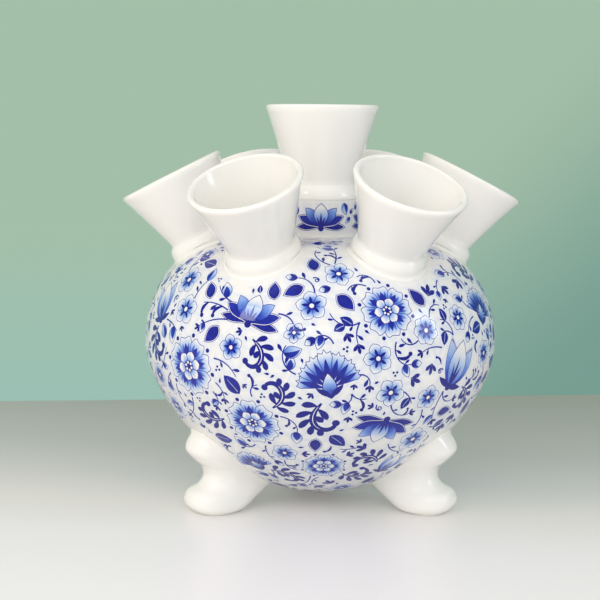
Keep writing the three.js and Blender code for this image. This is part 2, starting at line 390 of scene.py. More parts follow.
# %% [markdown]
# ## The leaning spouts
# Each spout was thrown or cast apart: a collar, a waist and a flaring funnel with a rounded
# lip. It was luted to the shoulder with slip, and the glaze filled the joint into a small
# hollow curve. The outline is pulled up once. Its lowest rings are then dropped onto the
# shoulder in code, because each point of them has its own height there, and no operator
# knows the body's curve.

# %% Pull up a spout
WALL, COLLAR, THROAT = 4.6, 27.9, 19.8
SEAT_RADIUS, SEAT_HEIGHT, TILT = 88.8, 197.85, math.radians(27.1)
JOINT = 2.2      # size of the hollow curve of glaze round a joint
SINK = 0.25      # how deep the joint's edges lie in the body
ROOT = -100.0    # heights below this stand for rings that are dropped onto the body
SPOUT_SIDES = 96


def funnel_outline(rim, waist, collar, collar_height, funnel, below):
    """The closed outline of a spout, from the rings at its root round to the same rings."""
    top, lip = collar_height + funnel, WALL / 2
    side, turn = collar_height * 0.1, collar_height * 0.45
    middle = ((rim + waist) / 2 - 0.7, collar_height + funnel / 2)
    bore = waist - WALL
    return np.concatenate([
        below,
        bezier([(collar, side), (collar, side + turn),
                (waist + 1.2, collar_height - turn / 2), (waist, collar_height)], 9),
        bezier([(waist, collar_height), middle, (rim, top - lip)], 14)[1:],
        arc((rim - lip, top - lip), lip, 0, 180, 8)[1:],
        bezier([(rim - WALL, top - lip), (middle[0] - WALL, middle[1]),
                (bore, collar_height)], 14)[1:],
        bezier([(bore, collar_height), (bore, 2.0)], 3)[1:],
    ])


hollow = [(JOINT * (1 - math.cos(a)), JOINT * (1 - math.sin(a)))
          for a in np.radians(np.linspace(0, 90, 6))]
root_rings = [(COLLAR + out, up) for out, up in hollow[::-1]] + [(COLLAR, 0.6 * JOINT + 1.4)]
root_rings[0] = (COLLAR + JOINT + 0.5, -SINK)
below = [(r, ROOT - i) for i, (r, _) in enumerate(root_rings)]
spout_outline = funnel_outline(41.3, 24.4, COLLAR, 8.3, 50.0, np.array(below))
spout_outline = np.concatenate(
    [spout_outline, [(THROAT, ROOT - len(root_rings)), (COLLAR, ROOT)]])
root_rings.append((THROAT, -SINK))
spout = pull_up("spout", spout_outline, SPOUT_SIDES)
front_stand = Matrix.Translation((0, -SEAT_RADIUS * MM, SEAT_HEIGHT * MM)) @ Matrix.Rotation(
    TILT, 4, "X")


# %% Drop the root onto the shoulder
def stand_of(i):
    """The place of the leaning spout's axis, as a matrix, for one of the six spouts."""
    return Matrix.Rotation(math.radians(30 + 60 * i), 4, "Z") @ front_stand


def on_vase(stand, side, height):
    """A spout's point, given beside and along its axis, in millimetres on the vase."""
    return stand @ ((side + Vector((0, 0, height))) * MM) / MM


def settle(low, high, tries, too_low):
    """Halves a span of heights until it closes in on where `too_low` ends."""
    for _ in range(tries):
        height = (low + high) / 2
        low, high = (height, high) if too_low(height) else (low, height)
    return height


def drop_to_shoulder(local, radius, above):
    """The point at a radius from the spout's axis that stands `above` the body."""
    side = Vector((local.x, local.y, 0)).normalized() * radius

    def too_low(height):
        spot = on_vase(front_stand, side, height)
        return spot.z - shoulder_height(math.hypot(spot.x, spot.y)) - above < 0

    return side + Vector((0, 0, settle(-25.0, 15.0, 30, too_low)))


for vertex in spout.data.vertices:
    height = vertex.co.z / MM
    if height < ROOT + 0.5:
        radius, above = root_rings[round(ROOT - height)]
        vertex.co = drop_to_shoulder(vertex.co, radius, above) * MM
close_up()
print("spout:", len(spout.data.vertices), "points")

# %% [markdown]
# A spout that repeats is modelled once and copied. Each copy gets its own mesh and its
# place in that mesh, so that the object itself stays at the origin.

# %% Seat six spouts and one upright one
SPOUT_NAMES = ["front_right", "right", "back_right", "back_left", "left", "front_left"]
for i, name in enumerate(SPOUT_NAMES):
    seated = copy_of(spout, "leaning_spout_" + name, stand_of(i))
    hand_in(seated, ["spout_" + name], white_glaze)
bpy.data.objects.remove(spout)

seat = NECK_TOP + 0.05   # the upright spout stands this little above the neck
sole_radius = NECK_RADIUS - 0.2
upright_outline = funnel_outline(43, 25.5, NECK_RADIUS, 11.2, 59.6,
                                 np.array([(sole_radius, 0.0), (NECK_RADIUS - 0.04, 0.12)]))
upright_outline[:, 1] += seat
upright_outline = np.concatenate(
    [upright_outline, [(BORE, NECK_TOP + 0.3), (BORE + 0.6, seat), (sole_radius, seat)]])
upright = pull_up("upright_spout", upright_outline, SPOUT_SIDES)
close_up()
hand_in(upright, ["centre_spout"], white_glaze)

# %% [markdown]
# ## The feet
# A foot is a pressed scroll: a knob under the belly, a drawn-in ankle and a toe that runs
# outwards. It could be sculpted, but the slices that the solid has are a surer guide. A
# straight tube is extruded, each of its rings is laid on its slice, the points near the
# body are pushed outwards into a hollow joint, and a Boolean trims the top to the belly.

# %% Bend a tube into a foot
TOE, DEPTH, TALL, HALF_WIDTH = 114.8, 69.5, 68.5, 22.0
SLICES = np.array([  # outer end: inwards, up; inner end: inwards, up; width
    (0.106, 0, 0.55, 0, 0.75), (0.023, 0.068, 0.632, 0.023, 0.91),
    (0, 0.154, 0.713, 0.067, 0.955), (0.045, 0.241, 0.809, 0.131, 0.93),
    (0.165, 0.295, 0.905, 0.199, 0.885), (0.222, 0.392, 0.973, 0.277, 0.865),
    (0.19, 0.493, 1, 0.388, 0.91), (0.089, 0.592, 1, 0.51, 0.977),
    (0.012, 0.7, 0.973, 0.645, 1), (0.045, 0.815, 0.891, 0.785, 0.93),
    (0.16, 0.945, 0.754, 0.93, 0.727),
])
FOOT_RINGS, FOOT_SIDES, TRIM_SIDES = 60, 64, 128
ROUNDNESS = 2.4      # power of a slice's rounded square: 2 is an ellipse
FOOT_JOINT = 3.6     # size of the hollow curve of glaze where the foot meets the belly
JOINT_SPREAD = 0.62  # share of that curve by which the foot widens
FOOT_SINK = 0.35     # how deep the foot's top lies in the body


def slice_at(t):
    """A slice between the given ones, on a smooth curve through them all."""
    x = t * (len(SLICES) - 1)
    i = min(int(x), len(SLICES) - 2)
    x -= i
    a, b, c, d = (SLICES[min(max(i + k, 0), len(SLICES) - 1)] for k in (-1, 0, 1, 2))
    return (b + (c - a) * 0.5 * x + (a - 2.5 * b + 2 * c - 0.5 * d) * x * x
            + (1.5 * (b - c) + 0.5 * (d - a)) * x ** 3)


def foot_point(t, angle):
    """A point of the foot's skin, for a foot at the front of the vase."""
    outer_in, outer_up, inner_in, inner_up, width = slice_at(t)
    outer = np.array([TOE - outer_in * DEPTH, outer_up * TALL])
    inner = np.array([TOE - inner_in * DEPTH, inner_up * TALL])
    along, across = (math.copysign(abs(v) ** (2 / ROUNDNESS), v)
                     for v in (math.cos(angle), math.sin(angle)))
    spot = (outer + inner) / 2 + (outer - inner) / 2 * along
    return Vector((across * width * HALF_WIDTH, -spot[0], spot[1]))


foot = pull_up("foot", [(1.0, float(i)) for i in range(FOOT_RINGS + 1)], FOOT_SIDES)
cap_ends()
for vertex in foot.data.vertices:
    ring = round(vertex.co.z / MM)
    angle = math.atan2(vertex.co.y, vertex.co.x)
    vertex.co = foot_point(ring / FOOT_RINGS, angle) * MM
close_up()

egg_normal = offset(egg, 1.0) - egg


# %% Widen the foot at the joint and trim it
def off_body(point):
    """Distance in millimetres from the body's outside, and the outline's normal there."""
    radius = math.hypot(point.x, point.y)
    i = np.argmin((egg[:, 0] - radius) ** 2 + (egg[:, 1] - point.z) ** 2)
    gap = np.array([radius, point.z]) - egg[i]
    return float(gap @ egg_normal[i]), egg_normal[i]


normals = [v.normal.copy() for v in foot.data.vertices]
for vertex, normal in zip(foot.data.vertices, normals):
    point = vertex.co / MM
    distance, (normal_out, normal_up) = off_body(point)
    if distance < FOOT_JOINT:
        near = max(distance, 0)
        push = FOOT_JOINT - math.sqrt(FOOT_JOINT ** 2 - (FOOT_JOINT - near) ** 2)
        outward = Vector((point.x, point.y, 0)).normalized() * normal_out
        outward.z = normal_up
        sideways = normal - outward * normal.dot(outward)
        if sideways.length > 0.2:   # not where the skin faces the body
            vertex.co += sideways.normalized() * push * JOINT_SPREAD * MM
trim_outline = np.concatenate([[(0.5, 9.0)], offset(egg[:200:4], -FOOT_SINK),
                               [(100.0, 180.0), (0.5, 180.0)]])
trimmer = pull_up("trimmer", trim_outline, TRIM_SIDES)
cap_ends()
close_up()
bpy.ops.object.select_all(action="DESELECT")
foot.select_set(True)
bpy.context.view_layer.objects.active = foot
trim = foot.modifiers.new("trim", "BOOLEAN")
trim.operation, trim.solver, trim.object = "DIFFERENCE", "EXACT", trimmer
bpy.ops.object.modifier_apply(modifier="trim")
bpy.data.objects.remove(trimmer)
bpy.ops.object.shade_smooth_by_angle(angle=math.radians(50))
FOOT_ANGLES = {"front_right": 60, "back": 180, "front_left": 300}
for name, angle in FOOT_ANGLES.items():
    stood = copy_of(foot, "scrolled_foot_" + name, Matrix.Rotation(math.radians(angle), 4, "Z"))
    hand_in(stood, ["foot_" + name], white_glaze)
bpy.data.objects.remove(foot)

# %% [markdown]
# ## A flat chart of the body
# To paint a round body, its skin is first laid out flat. The chart's x is the angle round
# the vase and its y grows with the way along the outline, stretched so that small shapes
# keep their form everywhere, as on a sailor's map. The strokes are drawn as flat shapes,
# cut into the chart, and the chart is rolled up into the body. A texture would be simpler,
# but real edges stay sharp at any distance and go with the mesh.


# %% Go between the chart and the vase
def chart_of(theta, along):
    """Chart coordinates of an angle in radians and a way along the outline."""
    return theta * BODY_RADIUS, np.interp(along, run, chart_y)


def radius_of(along):
    """The outline's radius at a way along it."""
    return np.interp(along, run, outline[:, 0])


def run_of_height(height):
    """Way along the outside at a height, from the base to the shoulder."""
    start, end = run_at("outside"), run_at("outside", -1)
    way = np.linspace(start, end, 2000)
    return float(np.interp(height, np.interp(way, run, outline[:, 1]), way))


print("chart in mm:", round(2 * math.pi * BODY_RADIUS), "wide,", round(chart_y[-1]), "high, belly at",
      round(float(chart_of(0, run_of_height(BELLY_HEIGHT))[1])))

# %% [markdown]
# ## The painter's strokes
# A painter of this kind of ware works with a few strokes: a ribbon that swells and thins, a
# blade for leaves and petals, and a dot. Each stroke here is a list of points and a tone,
# and a tone is flat or runs along a line or outwards from a point, as a loaded brush does.
# Every flower and leaf below is made of them.


# %% Define strokes and tones
FLAT, ALONG, AROUND = 0, 1, 2   # kinds of tone: even, along a line, outwards from a point


def flat(value):
    """A tone that is the same all over a stroke."""
    return (FLAT, 0, 0, 0, 0, value, value)


def ramp(x0, y0, x1, y1, start, end):
    """A tone that runs from one point to another."""
    return (ALONG, x0, y0, x1, y1, start, end)


def halo(x, y, inner, outer, start, end):
    """A tone that runs outwards from a point between two radii."""
    return (AROUND, x, y, inner, outer, start, end)


def moved(strokes, x=0.0, y=0.0, angle=0.0, size=1.0, mirror=False):
    """Turns (anticlockwise, in degrees), resizes and moves strokes and their tones."""
    a = math.radians(angle)
    c, s = math.cos(a) * size, math.sin(a) * size
    flip = -1.0 if mirror else 1.0

    def go(px, py):
        px = px * flip
        return c * px - s * py + x, s * px + c * py + y

    made = []
    for points, tone in strokes:
        px, py = go(points[:, 0], points[:, 1])
        kind, a0, b0, a1, b1, start, end = tone
        if kind == ALONG:
            tone = ramp(*go(a0, b0), *go(a1, b1), start, end)
        elif kind == AROUND:
            tone = halo(*go(a0, b0), a1 * size, b1 * size, start, end)
        made.append((np.stack([px, py], 1), tone))
    return made


def dot(x, y, radius, tone, sides=9):
    """A round touch of the brush."""
    a = np.linspace(0, 2 * math.pi, sides, endpoint=False)
    return (np.stack([x + radius * np.cos(a), y + radius * np.sin(a)], 1), tone)


def way(x, y, heading, length, bend, steps=12, curl=1.0):
    """A bent line: it sets out at a heading and turns by `bend` degrees on its way."""
    t = (np.arange(steps) + 0.5) / steps
    a = np.radians(heading + bend * t ** curl)
    px = x + np.concatenate([[0], np.cumsum(np.cos(a))]) * length / steps
    py = y + np.concatenate([[0], np.cumsum(np.sin(a))]) * length / steps
    return np.stack([px, py], 1)


def lean_at(line, i):
    """The angle from upright of a line's piece after its point i, in degrees."""
    ahead_x, ahead_y = line[i + 1] - line[i]
    return math.degrees(math.atan2(ahead_y, ahead_x)) - 90


def ribbon(line, widths, tone):
    """A stroke of changing width along a line."""
    across = across_of(line)
    widths = np.interp(np.linspace(0, 1, len(line)), np.linspace(0, 1, len(widths)), widths)
    half = across * widths[:, None] / 2
    return (np.concatenate([line + half, (line - half)[::-1]]), tone)


def blade(length, left, right, bend, tone, skew=1.0, steps=8, y=0.0, heading=90.0,
          point=0.85):
    """A leaf or petal: two bellied sides between a base and a tip, sharp or round."""
    line = way(0, y, heading - bend / 2, length, bend, steps)
    across = across_of(line)
    belly = np.maximum(np.sin(math.pi * np.linspace(0, 1, len(line)) ** skew), 0) ** point
    one = line + across * (belly * left)[:, None]
    other = line - across * (belly * right)[:, None]
    return (np.concatenate([one, other[-2:0:-1]]), tone)


# %% [markdown]
# ## Flowers, leaves and scrolls
# These are the usual motifs of blue-and-white ware, drawn for this lesson: a many-petalled
# rosette, a tulip, a fan-shaped pink, a lotus seen from the side, small stars, buds, shaded
# leaves and comma scrolls. Dark lines go down first and paler washes are laid inside them.


# %% Shape petals and mirror them
def both_sides(strokes):
    """Strokes and their mirror image."""
    return strokes + moved(strokes, mirror=True)


def wedge(radius, half_angle, lobes, depth, inner, tone, steps=15, shoulder=0.74):
    """A petal of a rosette: a wedge whose outer edge has lobes."""
    u = np.sin(np.linspace(-1, 1, steps) * math.pi / 2)
    edge = radius * (shoulder + (1 - shoulder) * np.sqrt(np.maximum(1 - u * u, 0)))
    edge *= 1 - depth * np.abs(np.cos(math.pi * lobes * (u + 1) / 2))
    a = np.radians(90 - u * half_angle)
    points = np.stack([edge * np.cos(a), edge * np.sin(a)], 1)
    foot = np.radians([90 + half_angle * 0.5, 90 - half_angle * 0.5])
    root = np.stack([inner * np.cos(foot), inner * np.sin(foot)], 1)
    return (np.concatenate([points, root[::-1]])[::-1], tone)


def inset(stroke, by, tone):
    """The same shape drawn a little inside its own line."""
    points = stroke[0]
    before, after = np.roll(points, 1, 0), np.roll(points, -1, 0)
    one, two = points - before, after - points
    one /= np.maximum(np.linalg.norm(one, axis=1)[:, None], 1e-9)
    two /= np.maximum(np.linalg.norm(two, axis=1)[:, None], 1e-9)
    area = np.sum(points[:, 0] * after[:, 1] - after[:, 0] * points[:, 1])
    turn = 1.0 if area > 0 else -1.0
    across = np.stack([-(one + two)[:, 1], (one + two)[:, 0]], 1)
    across /= np.maximum(np.linalg.norm(across, axis=1)[:, None], 1e-9)
    stretch = np.clip(1 / np.maximum(np.abs(np.sum(
        across * np.stack([-one[:, 1], one[:, 0]], 1), axis=1)), 0.5), 1, 1.6)
    return (points + turn * by * across * stretch[:, None], tone)


def rimmed(shape, rim, tone):
    """A full stroke with a white edge inside a fine line."""
    return [shape, inset(shape, 0.45, flat(0.0)), inset(shape, 0.45 + rim, tone)]


# %% Draw a rosette
def rosette(size, petals=8):
    """A full flower from above, two rings of petals round a beaded eye."""
    strokes = []
    step = 360 / petals
    for k in range(petals):
        strokes += moved([dot(0, size * 0.98, size * 0.075, flat(0.95), 7)],
                         angle=(k + 0.5) * step)
    for k in list(range(0, petals, 2)) + list(range(1, petals, 2)):
        petal = wedge(size, step * 0.58, 2, 0.12, size * 0.25, flat(0.66))
        wash_in = inset(petal, 0.5, halo(0, 0, size * 0.34, size * 0.92, 0.56, 0.0))
        strokes += moved([petal, wash_in], angle=k * step)
        for turn_by in (-0.26, 0.26):
            strokes += moved([blade(size * 0.34, size * 0.05, size * 0.05, 0,
                                    ramp(0, size * 0.4, 0, size * 0.7, 0.8, 0.4), 0.8, 5,
                                    y=size * 0.40)], angle=(k + turn_by) * step)
        strokes += moved([blade(size * 0.42, size * 0.10, size * 0.10, 0,
                                ramp(0, size * 0.30, 0, size * 0.70, 1.0, 0.7), 0.7, 7,
                                y=size * 0.30)], angle=k * step)
    inner_petals = petals - 2
    step = 360 / inner_petals
    for k in range(inner_petals):
        petal = blade(size * 0.50, size * 0.18, size * 0.18, 0, flat(0.72), 1.7, 8)
        wash_in = inset(petal, 0.45, halo(0, 0, size * 0.18, size * 0.36, 0.35, 0.0))
        strokes += moved([petal, wash_in], angle=(k + 0.5) * step)
    strokes.append(dot(0, 0, size * 0.19, flat(1.0), 12))
    for k in range(inner_petals):
        a = math.radians((k + 0.5) * step)
        strokes.append(dot(size * 0.125 * math.cos(a), size * 0.125 * math.sin(a),
                           size * 0.045, flat(0.0), 7))
    return strokes


# %% Draw a tulip
def tulip(size):
    """A tulip from the side: dark outer petals, a pale one in the middle."""
    outer = blade(size * 1.05, size * 0.40, size * 0.03, 52, flat(0.9), 0.72, 10, heading=70)
    strokes = both_sides(rimmed(outer, 0.4, ramp(0, 0, -size * 0.3, size, 1.0, 0.75)))
    back = blade(size * 0.98, size * 0.20, size * 0.20, 0, flat(0.85), 0.85, 9)
    for lean in (22, -22):
        strokes += moved([back, inset(back, 0.45, ramp(0, size * 0.2, 0, size * 0.95, 0.7, 0.1))],
                         angle=lean)
    heart = blade(size * 1.0, size * 0.26, size * 0.26, 0, flat(0.85), 0.85, 10)
    strokes += [heart, inset(heart, 0.5, ramp(0, size * 0.1, 0, size * 0.8, 0.45, 0.0))]
    for lean, reach in ((-14, 0.50), (0, 0.66), (14, 0.50)):
        strokes += moved([blade(size * reach, size * 0.035, size * 0.035, 0, flat(0.95), 0.6, 5)],
                         angle=lean)
    strokes += both_sides([blade(size * 0.42, size * 0.11, size * 0.03, 50, flat(1.0), 0.8, 6,
                                 heading=15)])
    strokes.append(dot(0, 0, size * 0.09, flat(1.0)))
    return strokes


# %% Draw a pink
def pink(size):
    """A fan-shaped pink with toothed petals on a long cup."""
    strokes = []
    for k, lean in enumerate((-66, 66, -44, 44, -22, 22, 0)):
        petal = wedge(size * (1 - 0.002 * abs(lean)), 13.5, 3, 0.10, size * 0.2, flat(0.8), 13,
                      0.9)
        middle = inset(petal, 0.5, halo(0, 0, size * 0.35, size * 0.92, 0.8, 0.0))
        strokes += moved([petal, middle], angle=lean)
        strokes += moved([blade(size * 0.52, size * 0.075, size * 0.075, 0,
                                ramp(0, size * 0.3, 0, size * 0.78, 1.0, 0.7), 0.6, 6,
                                y=size * 0.26)], angle=lean)
    cup = blade(size * 0.70, size * 0.19, size * 0.19, 0, flat(1.0), 0.8, 8,
                y=-size * 0.26)
    strokes += [cup, inset(cup, 0.7, ramp(0, -size * 0.2, 0, size * 0.4, 0.8, 0.0))]
    return strokes + both_sides([blade(size * 0.46, size * 0.12, size * 0.03, 44, flat(1.0),
                                       0.8, 6, y=-size * 0.2, heading=40)])


# %% Draw a lotus
def lotus(size):
    """A wide blossom from the side, dark outer petals round pale inner ones."""
    strokes = []
    for side in (1, -1):
        for lean, reach, girth, tones in ((88, 1.0, 0.17, (1.0, 0.9)),
                                          (64, 1.04, 0.21, (1.0, 0.7))):
            petal = blade(size * reach, size * girth, size * girth * 0.8, 26, flat(0.9), 1.3, 10)
            strokes += moved(rimmed(petal, 0.38, ramp(0, 0, 0, size * reach, *tones)),
                             angle=lean * side, mirror=side < 0)
        petal = blade(size * 0.98, size * 0.22, size * 0.20, 20, flat(0.85), 1.25, 10)
        strokes += moved([petal, inset(petal, 0.45, ramp(0, size * 0.2, 0, size, 0.9, 0.15))],
                         angle=38 * side, mirror=side < 0)
    heart = blade(size * 0.95, size * 0.28, size * 0.28, 0, flat(0.85), 1.15, 11)
    strokes += [heart, inset(heart, 0.5, ramp(0, size * 0.15, 0, size * 0.8, 0.55, 0.0))]
    for lean, reach in ((-20, 0.46), (0, 0.62), (20, 0.46)):
        strokes += moved([blade(size * reach, size * 0.045, size * 0.045, 0, flat(0.95), 0.65, 5)],
                         angle=lean)
    strokes.append(dot(0, 0, size * 0.11, flat(1.0), 9))
    return strokes


# %% Draw small flowers and buds
def star(size, petals=5, tone=0.7):
    """A small open flower."""
    strokes = []
    for k in range(petals):
        petal = blade(size, size * 0.42, size * 0.42, 0, flat(0.66), 1.4, 7)
        strokes += moved([petal, inset(petal, 0.42, halo(0, 0, size * 0.25, size * 0.85,
                                                         tone, 0.0))], angle=k * 360 / petals)
    for k in range(petals):
        strokes += moved([blade(size * 0.46, size * 0.10, size * 0.10, 0, flat(1.0), 0.8, 5,
                                y=size * 0.18)], angle=k * 360 / petals)
    strokes += [dot(0, 0, size * 0.27, flat(1.0)), dot(0, 0, size * 0.15, flat(0.0), 8)]
    return strokes


def bud(size):
    """A closed flower between two sepals."""
    body = blade(size, size * 0.36, size * 0.36, 0, flat(0.85), 0.9, 9)
    strokes = [body, inset(body, 0.45, ramp(0, 0, 0, size * 0.85, 0.9, 0.0))]
    strokes.append(blade(size * 0.62, size * 0.06, size * 0.06, 0, flat(1.0), 0.7, 5))
    return strokes + both_sides([blade(size * 0.76, size * 0.22, size * 0.03, 44, flat(1.0),
                                       0.9, 7, heading=68)])


# %% Draw leaves and comma scrolls
def leaf(size, bend=20, kind=0):
    """A leaf: half shaded, open with a dark heart, full with a vein, or full in a fine line."""
    body = blade(size, size * 0.33, size * 0.31, bend, flat(0.78), 0.82, 9)
    line = way(0, 0, 90 - bend / 2, size, bend, 9)
    if kind == 0:
        return [body, inset(body, 0.42, ramp(0, 0, 0, size, 0.45, 0.05)),
                blade(size * 0.9, size * 0.28, 0.0, bend, ramp(0, 0, 0, size, 1.0, 0.6), 0.82, 8)]
    if kind == 1:
        return [body, inset(body, 0.42, ramp(0, 0, 0, size * 0.9, 0.5, 0.0)),
                blade(size * 0.74, size * 0.20, size * 0.20, bend * 0.7,
                      ramp(0, 0, 0, size * 0.75, 1.0, 0.6), 0.8, 7)]
    if kind == 2:
        full = (body[0], ramp(0, 0, 0, size, 1.0, 0.85))
        return [full, ribbon(line[1:-2], (0.5, 0.35), flat(0.15))]
    return rimmed(body, 0.42, ramp(0, 0, 0, size, 1.0, 0.8))


def comma(size, bend=110):
    """A comma stroke: it swells as it curls and ends in a round head."""
    line = way(0, 0, 90 - bend * 0.2, size, bend, 10, 1.6)
    width = size * 0.23
    return [ribbon(line, (0.5, width * 0.7, width, width * 0.85, width * 0.5), flat(1.0)),
            dot(*line[-1], width * 0.62, flat(1.0))]


# %% Draw small fillers
def bird_foot(size):
    """Three short strokes that fan out from a point."""
    strokes = []
    for toe in (-1, 0, 1):
        reach = size * (1 - 0.16 * abs(toe))
        strokes += moved([blade(reach, size * 0.175, size * 0.165, -16.0 * toe, flat(1.0), 1.6, 6)],
                         angle=-40.0 * toe)
    return strokes


def dots(size):
    """Three dots close together."""
    return [dot(size * math.cos(a), size * math.sin(a), size * 0.62, flat(0.95), 7)
            for a in (0.5, 2.6, 4.7)]


def berries(size):
    """Three berries on short stalks."""
    strokes = []
    for lean, reach in ((-40, 0.8), (0, 1.0), (40, 0.8)):
        strokes += moved([ribbon(way(0, 0, 90, size * reach, 0, 3), (0.9, 0.7), flat(0.85)),
                          dot(0, size * reach, size * 0.21, flat(1.0), 9)], angle=lean)
    return strokes


def tendril(size):
    """A thin curl that ends in a dot."""
    line = way(0, 0, 60, size * 2.6, 430, 20, 1.7)
    return [ribbon(line, (1.1, 0.9, 0.7), flat(0.85)), dot(*line[-1], 0.75, flat(0.9), 7)]


# %% Draw a scrolled leaf
def acanthus(size):
    """A scrolled leaf: a bold curl with round lobes down both of its sides."""
    spine = way(0, 0, 100, size * 1.35, -215, 22, 1.7)
    strokes = []
    for k, side, reach, spread in ((2, 1, 0.40, 62), (5, 1, 0.46, 52), (8, 1, 0.44, 48),
                                   (11, 1, 0.36, 46), (14, 1, 0.25, 50),
                                   (3, -1, 0.42, 66), (7, -1, 0.30, 58)):
        lobe = blade(size * reach, size * 0.085, size * 0.085, -44, flat(1.0), 1.5, 8, point=0.6)
        strokes += moved([lobe], *spine[k], lean_at(spine, k) + side * spread, mirror=side < 0)
    strokes.append(ribbon(spine, (size * 0.05, size * 0.14, size * 0.17, size * 0.14,
                                  size * 0.09), flat(1.0)))
    strokes.append(dot(*spine[-1], size * 0.095, flat(1.0), 10))
    strokes.append(ribbon(spine[2:15], (0.3, 0.6, 0.3), flat(0.0)))
    return strokes


print("motifs drawn: rosette of", len(rosette(20)), "strokes, tulip of", len(tulip(20)))

# %% [markdown]
# ## Where paint may go
# The painter kept off the collars, the feet, the neck's top edge and the middle of the
# underside, and left a little white round every stroke. A grid of cells about a millimetre
# wide remembers what is taken. A motif is tried, and is kept only if all of it is free.

# %% Keep a map of what is taken
FIRST, LAST = run_at("outside"), run_at("neck_edge")
ROWS, COLUMNS = int(LAST - FIRST) + 2, round(2 * math.pi * BODY_RADIUS)
BASE_BARE, UNDERSIDE_TOP = 41, 60        # radius of the bare underside, and where to look for it
EDGE_BARE, FILLET_BARE = 1.6, 35.5       # bare edge on the neck, bare radius round its foot
COLLAR_BARE, COLLARS_FROM = 34.5, 150    # bare radius round a collar, and height to look from
FOOT_TOP, FOOT_FROM = 69, 47             # height of the feet, and their nearest to the axis
FOOT_BARE = ([0, 30, 50, 62, 69], [19, 21.5, 25, 23, 17])   # heights, half widths
taken = np.zeros((ROWS, COLUMNS), bool)
row_run = FIRST + np.arange(ROWS)
row_radius = radius_of(row_run)
row_height = np.interp(row_run, run, outline[:, 1])
column_theta = (np.arange(COLUMNS) + 0.5) / COLUMNS * 2 * math.pi - math.pi
cell_x = row_radius[:, None] * np.sin(column_theta)[None]
cell_y = -row_radius[:, None] * np.cos(column_theta)[None]
cell_z = np.repeat(row_height[:, None], COLUMNS, 1)
taken |= ((row_radius < BASE_BARE) & (row_height < UNDERSIDE_TOP))[:, None]
taken |= (row_height > NECK_TOP - EDGE_BARE)[:, None]
taken |= ((row_height > CROWN_HEIGHT - 0.2) & (row_height < CROWN_HEIGHT + 3.4)
          & (row_radius < FILLET_BARE))[:, None]
taken |= (np.abs(column_theta) > math.pi - 0.006)[None]   # the seam, at the back
for i in range(6):
    stand = stand_of(i)
    base, axis = stand.translation / MM, stand.to_3x3() @ Vector((0, 0, 1))
    gap = np.stack([cell_x - base.x, cell_y - base.y, cell_z - base.z], -1)
    off_axis = gap - (gap @ np.array(axis))[..., None] * np.array(axis)
    taken |= ((np.linalg.norm(off_axis, axis=-1) < COLLAR_BARE)
              & (row_height > COLLARS_FROM)[:, None])
for angle in FOOT_ANGLES.values():
    a = math.radians(angle)
    across = cell_x * math.cos(a) + cell_y * math.sin(a)
    outwards = cell_x * math.sin(a) - cell_y * math.cos(a)
    width = np.interp(row_height, *FOOT_BARE)[:, None]
    taken |= ((np.abs(across) < width) & (outwards > FOOT_FROM)
              & (row_height < FOOT_TOP)[:, None])


# %% Try a place and take it
EDGE_STEP = 0.8   # space between the marks on a stroke's edge, in millimetres
ALL_EDGE = 2.5    # a stroke narrower than this needs no rows across it


def spots(points, theta, along):
    """Rows and columns of points that are given round an anchor."""
    way_along = along + points[:, 1]
    angle = theta + points[:, 0] / np.maximum(radius_of(way_along), 5)
    rows = np.floor(way_along - FIRST).astype(int)
    columns = np.floor((angle + math.pi) / (2 * math.pi) * COLUMNS).astype(int)
    return rows, columns


def is_free(strokes, theta, along):
    """Whether strokes would lie on free cells only, with their middles too."""
    points = np.concatenate([stroke[0] for stroke in strokes])
    middle = np.concatenate([(stroke[0] + stroke[0][::-1]) / 2 for stroke in strokes])
    rows, columns = spots(np.concatenate([points, middle]), theta, along)
    if rows.min() < 0 or rows.max() >= ROWS or columns.min() < 0 or columns.max() >= COLUMNS:
        return False
    return not taken[rows, columns].any()


def take(strokes, theta, along, margin):
    """Marks the cells that strokes cover, and a margin round them."""
    for points, _ in strokes:
        nexts = np.roll(points, -1, 0)
        pieces = int(np.abs(nexts - points).max() / EDGE_STEP) + 1
        share = np.linspace(0, 1, pieces, endpoint=False)[:, None, None]
        edge = (points + (nexts - points) * share).reshape(-1, 2)
        for turn in range(8):
            a = turn * math.pi / 4
            rows, columns = spots(edge + (margin * math.cos(a), margin * math.sin(a)),
                                  theta, along)
            taken[np.clip(rows, 0, ROWS - 1), np.clip(columns, 0, COLUMNS - 1)] = True
        if np.ptp(points, axis=0).min() < ALL_EDGE:
            continue
        low, high = points[:, 1].min(), points[:, 1].max()
        for y in np.arange(math.ceil(low + along - FIRST), high + along - FIRST) + FIRST - along:
            crosses = (points[:, 1] > y) != (nexts[:, 1] > y)
            one, two = points[crosses], nexts[crosses]
            x = np.sort(one[:, 0] + (y - one[:, 1]) / (two[:, 1] - one[:, 1])
                        * (two[:, 0] - one[:, 0]))
            rows, columns = spots(np.stack([x, np.full(len(x), y)], 1), theta, along)
            for left, end in zip(columns[::2], columns[1::2]):
                taken[min(max(rows[0], 0), ROWS - 1), max(left, 0):end + 1] = True


print("free share of the outside:", round(1 - taken.mean(), 2))

# %% [markdown]
# ## Composing the painting
# Large flowers come first, in staggered rows, as a painter sets out the main blooms with a
# few marks. Stems grow out of them and carry leaves and buds where there is room, and
# sprigs, scrolls and dots fill what is left. The random numbers are seeded, so the vase
# comes out the same each time.

# %% Set out the large flowers
random.seed(8)
painting = []   # strokes with their anchor: points, tone, theta, way along the outline


def paint(strokes, theta, along, margin=1.05):
    """Adds strokes to the painting and marks their cells."""
    painting.extend((points, tone, theta, along) for points, tone in strokes)
    take(strokes, theta, along, margin)


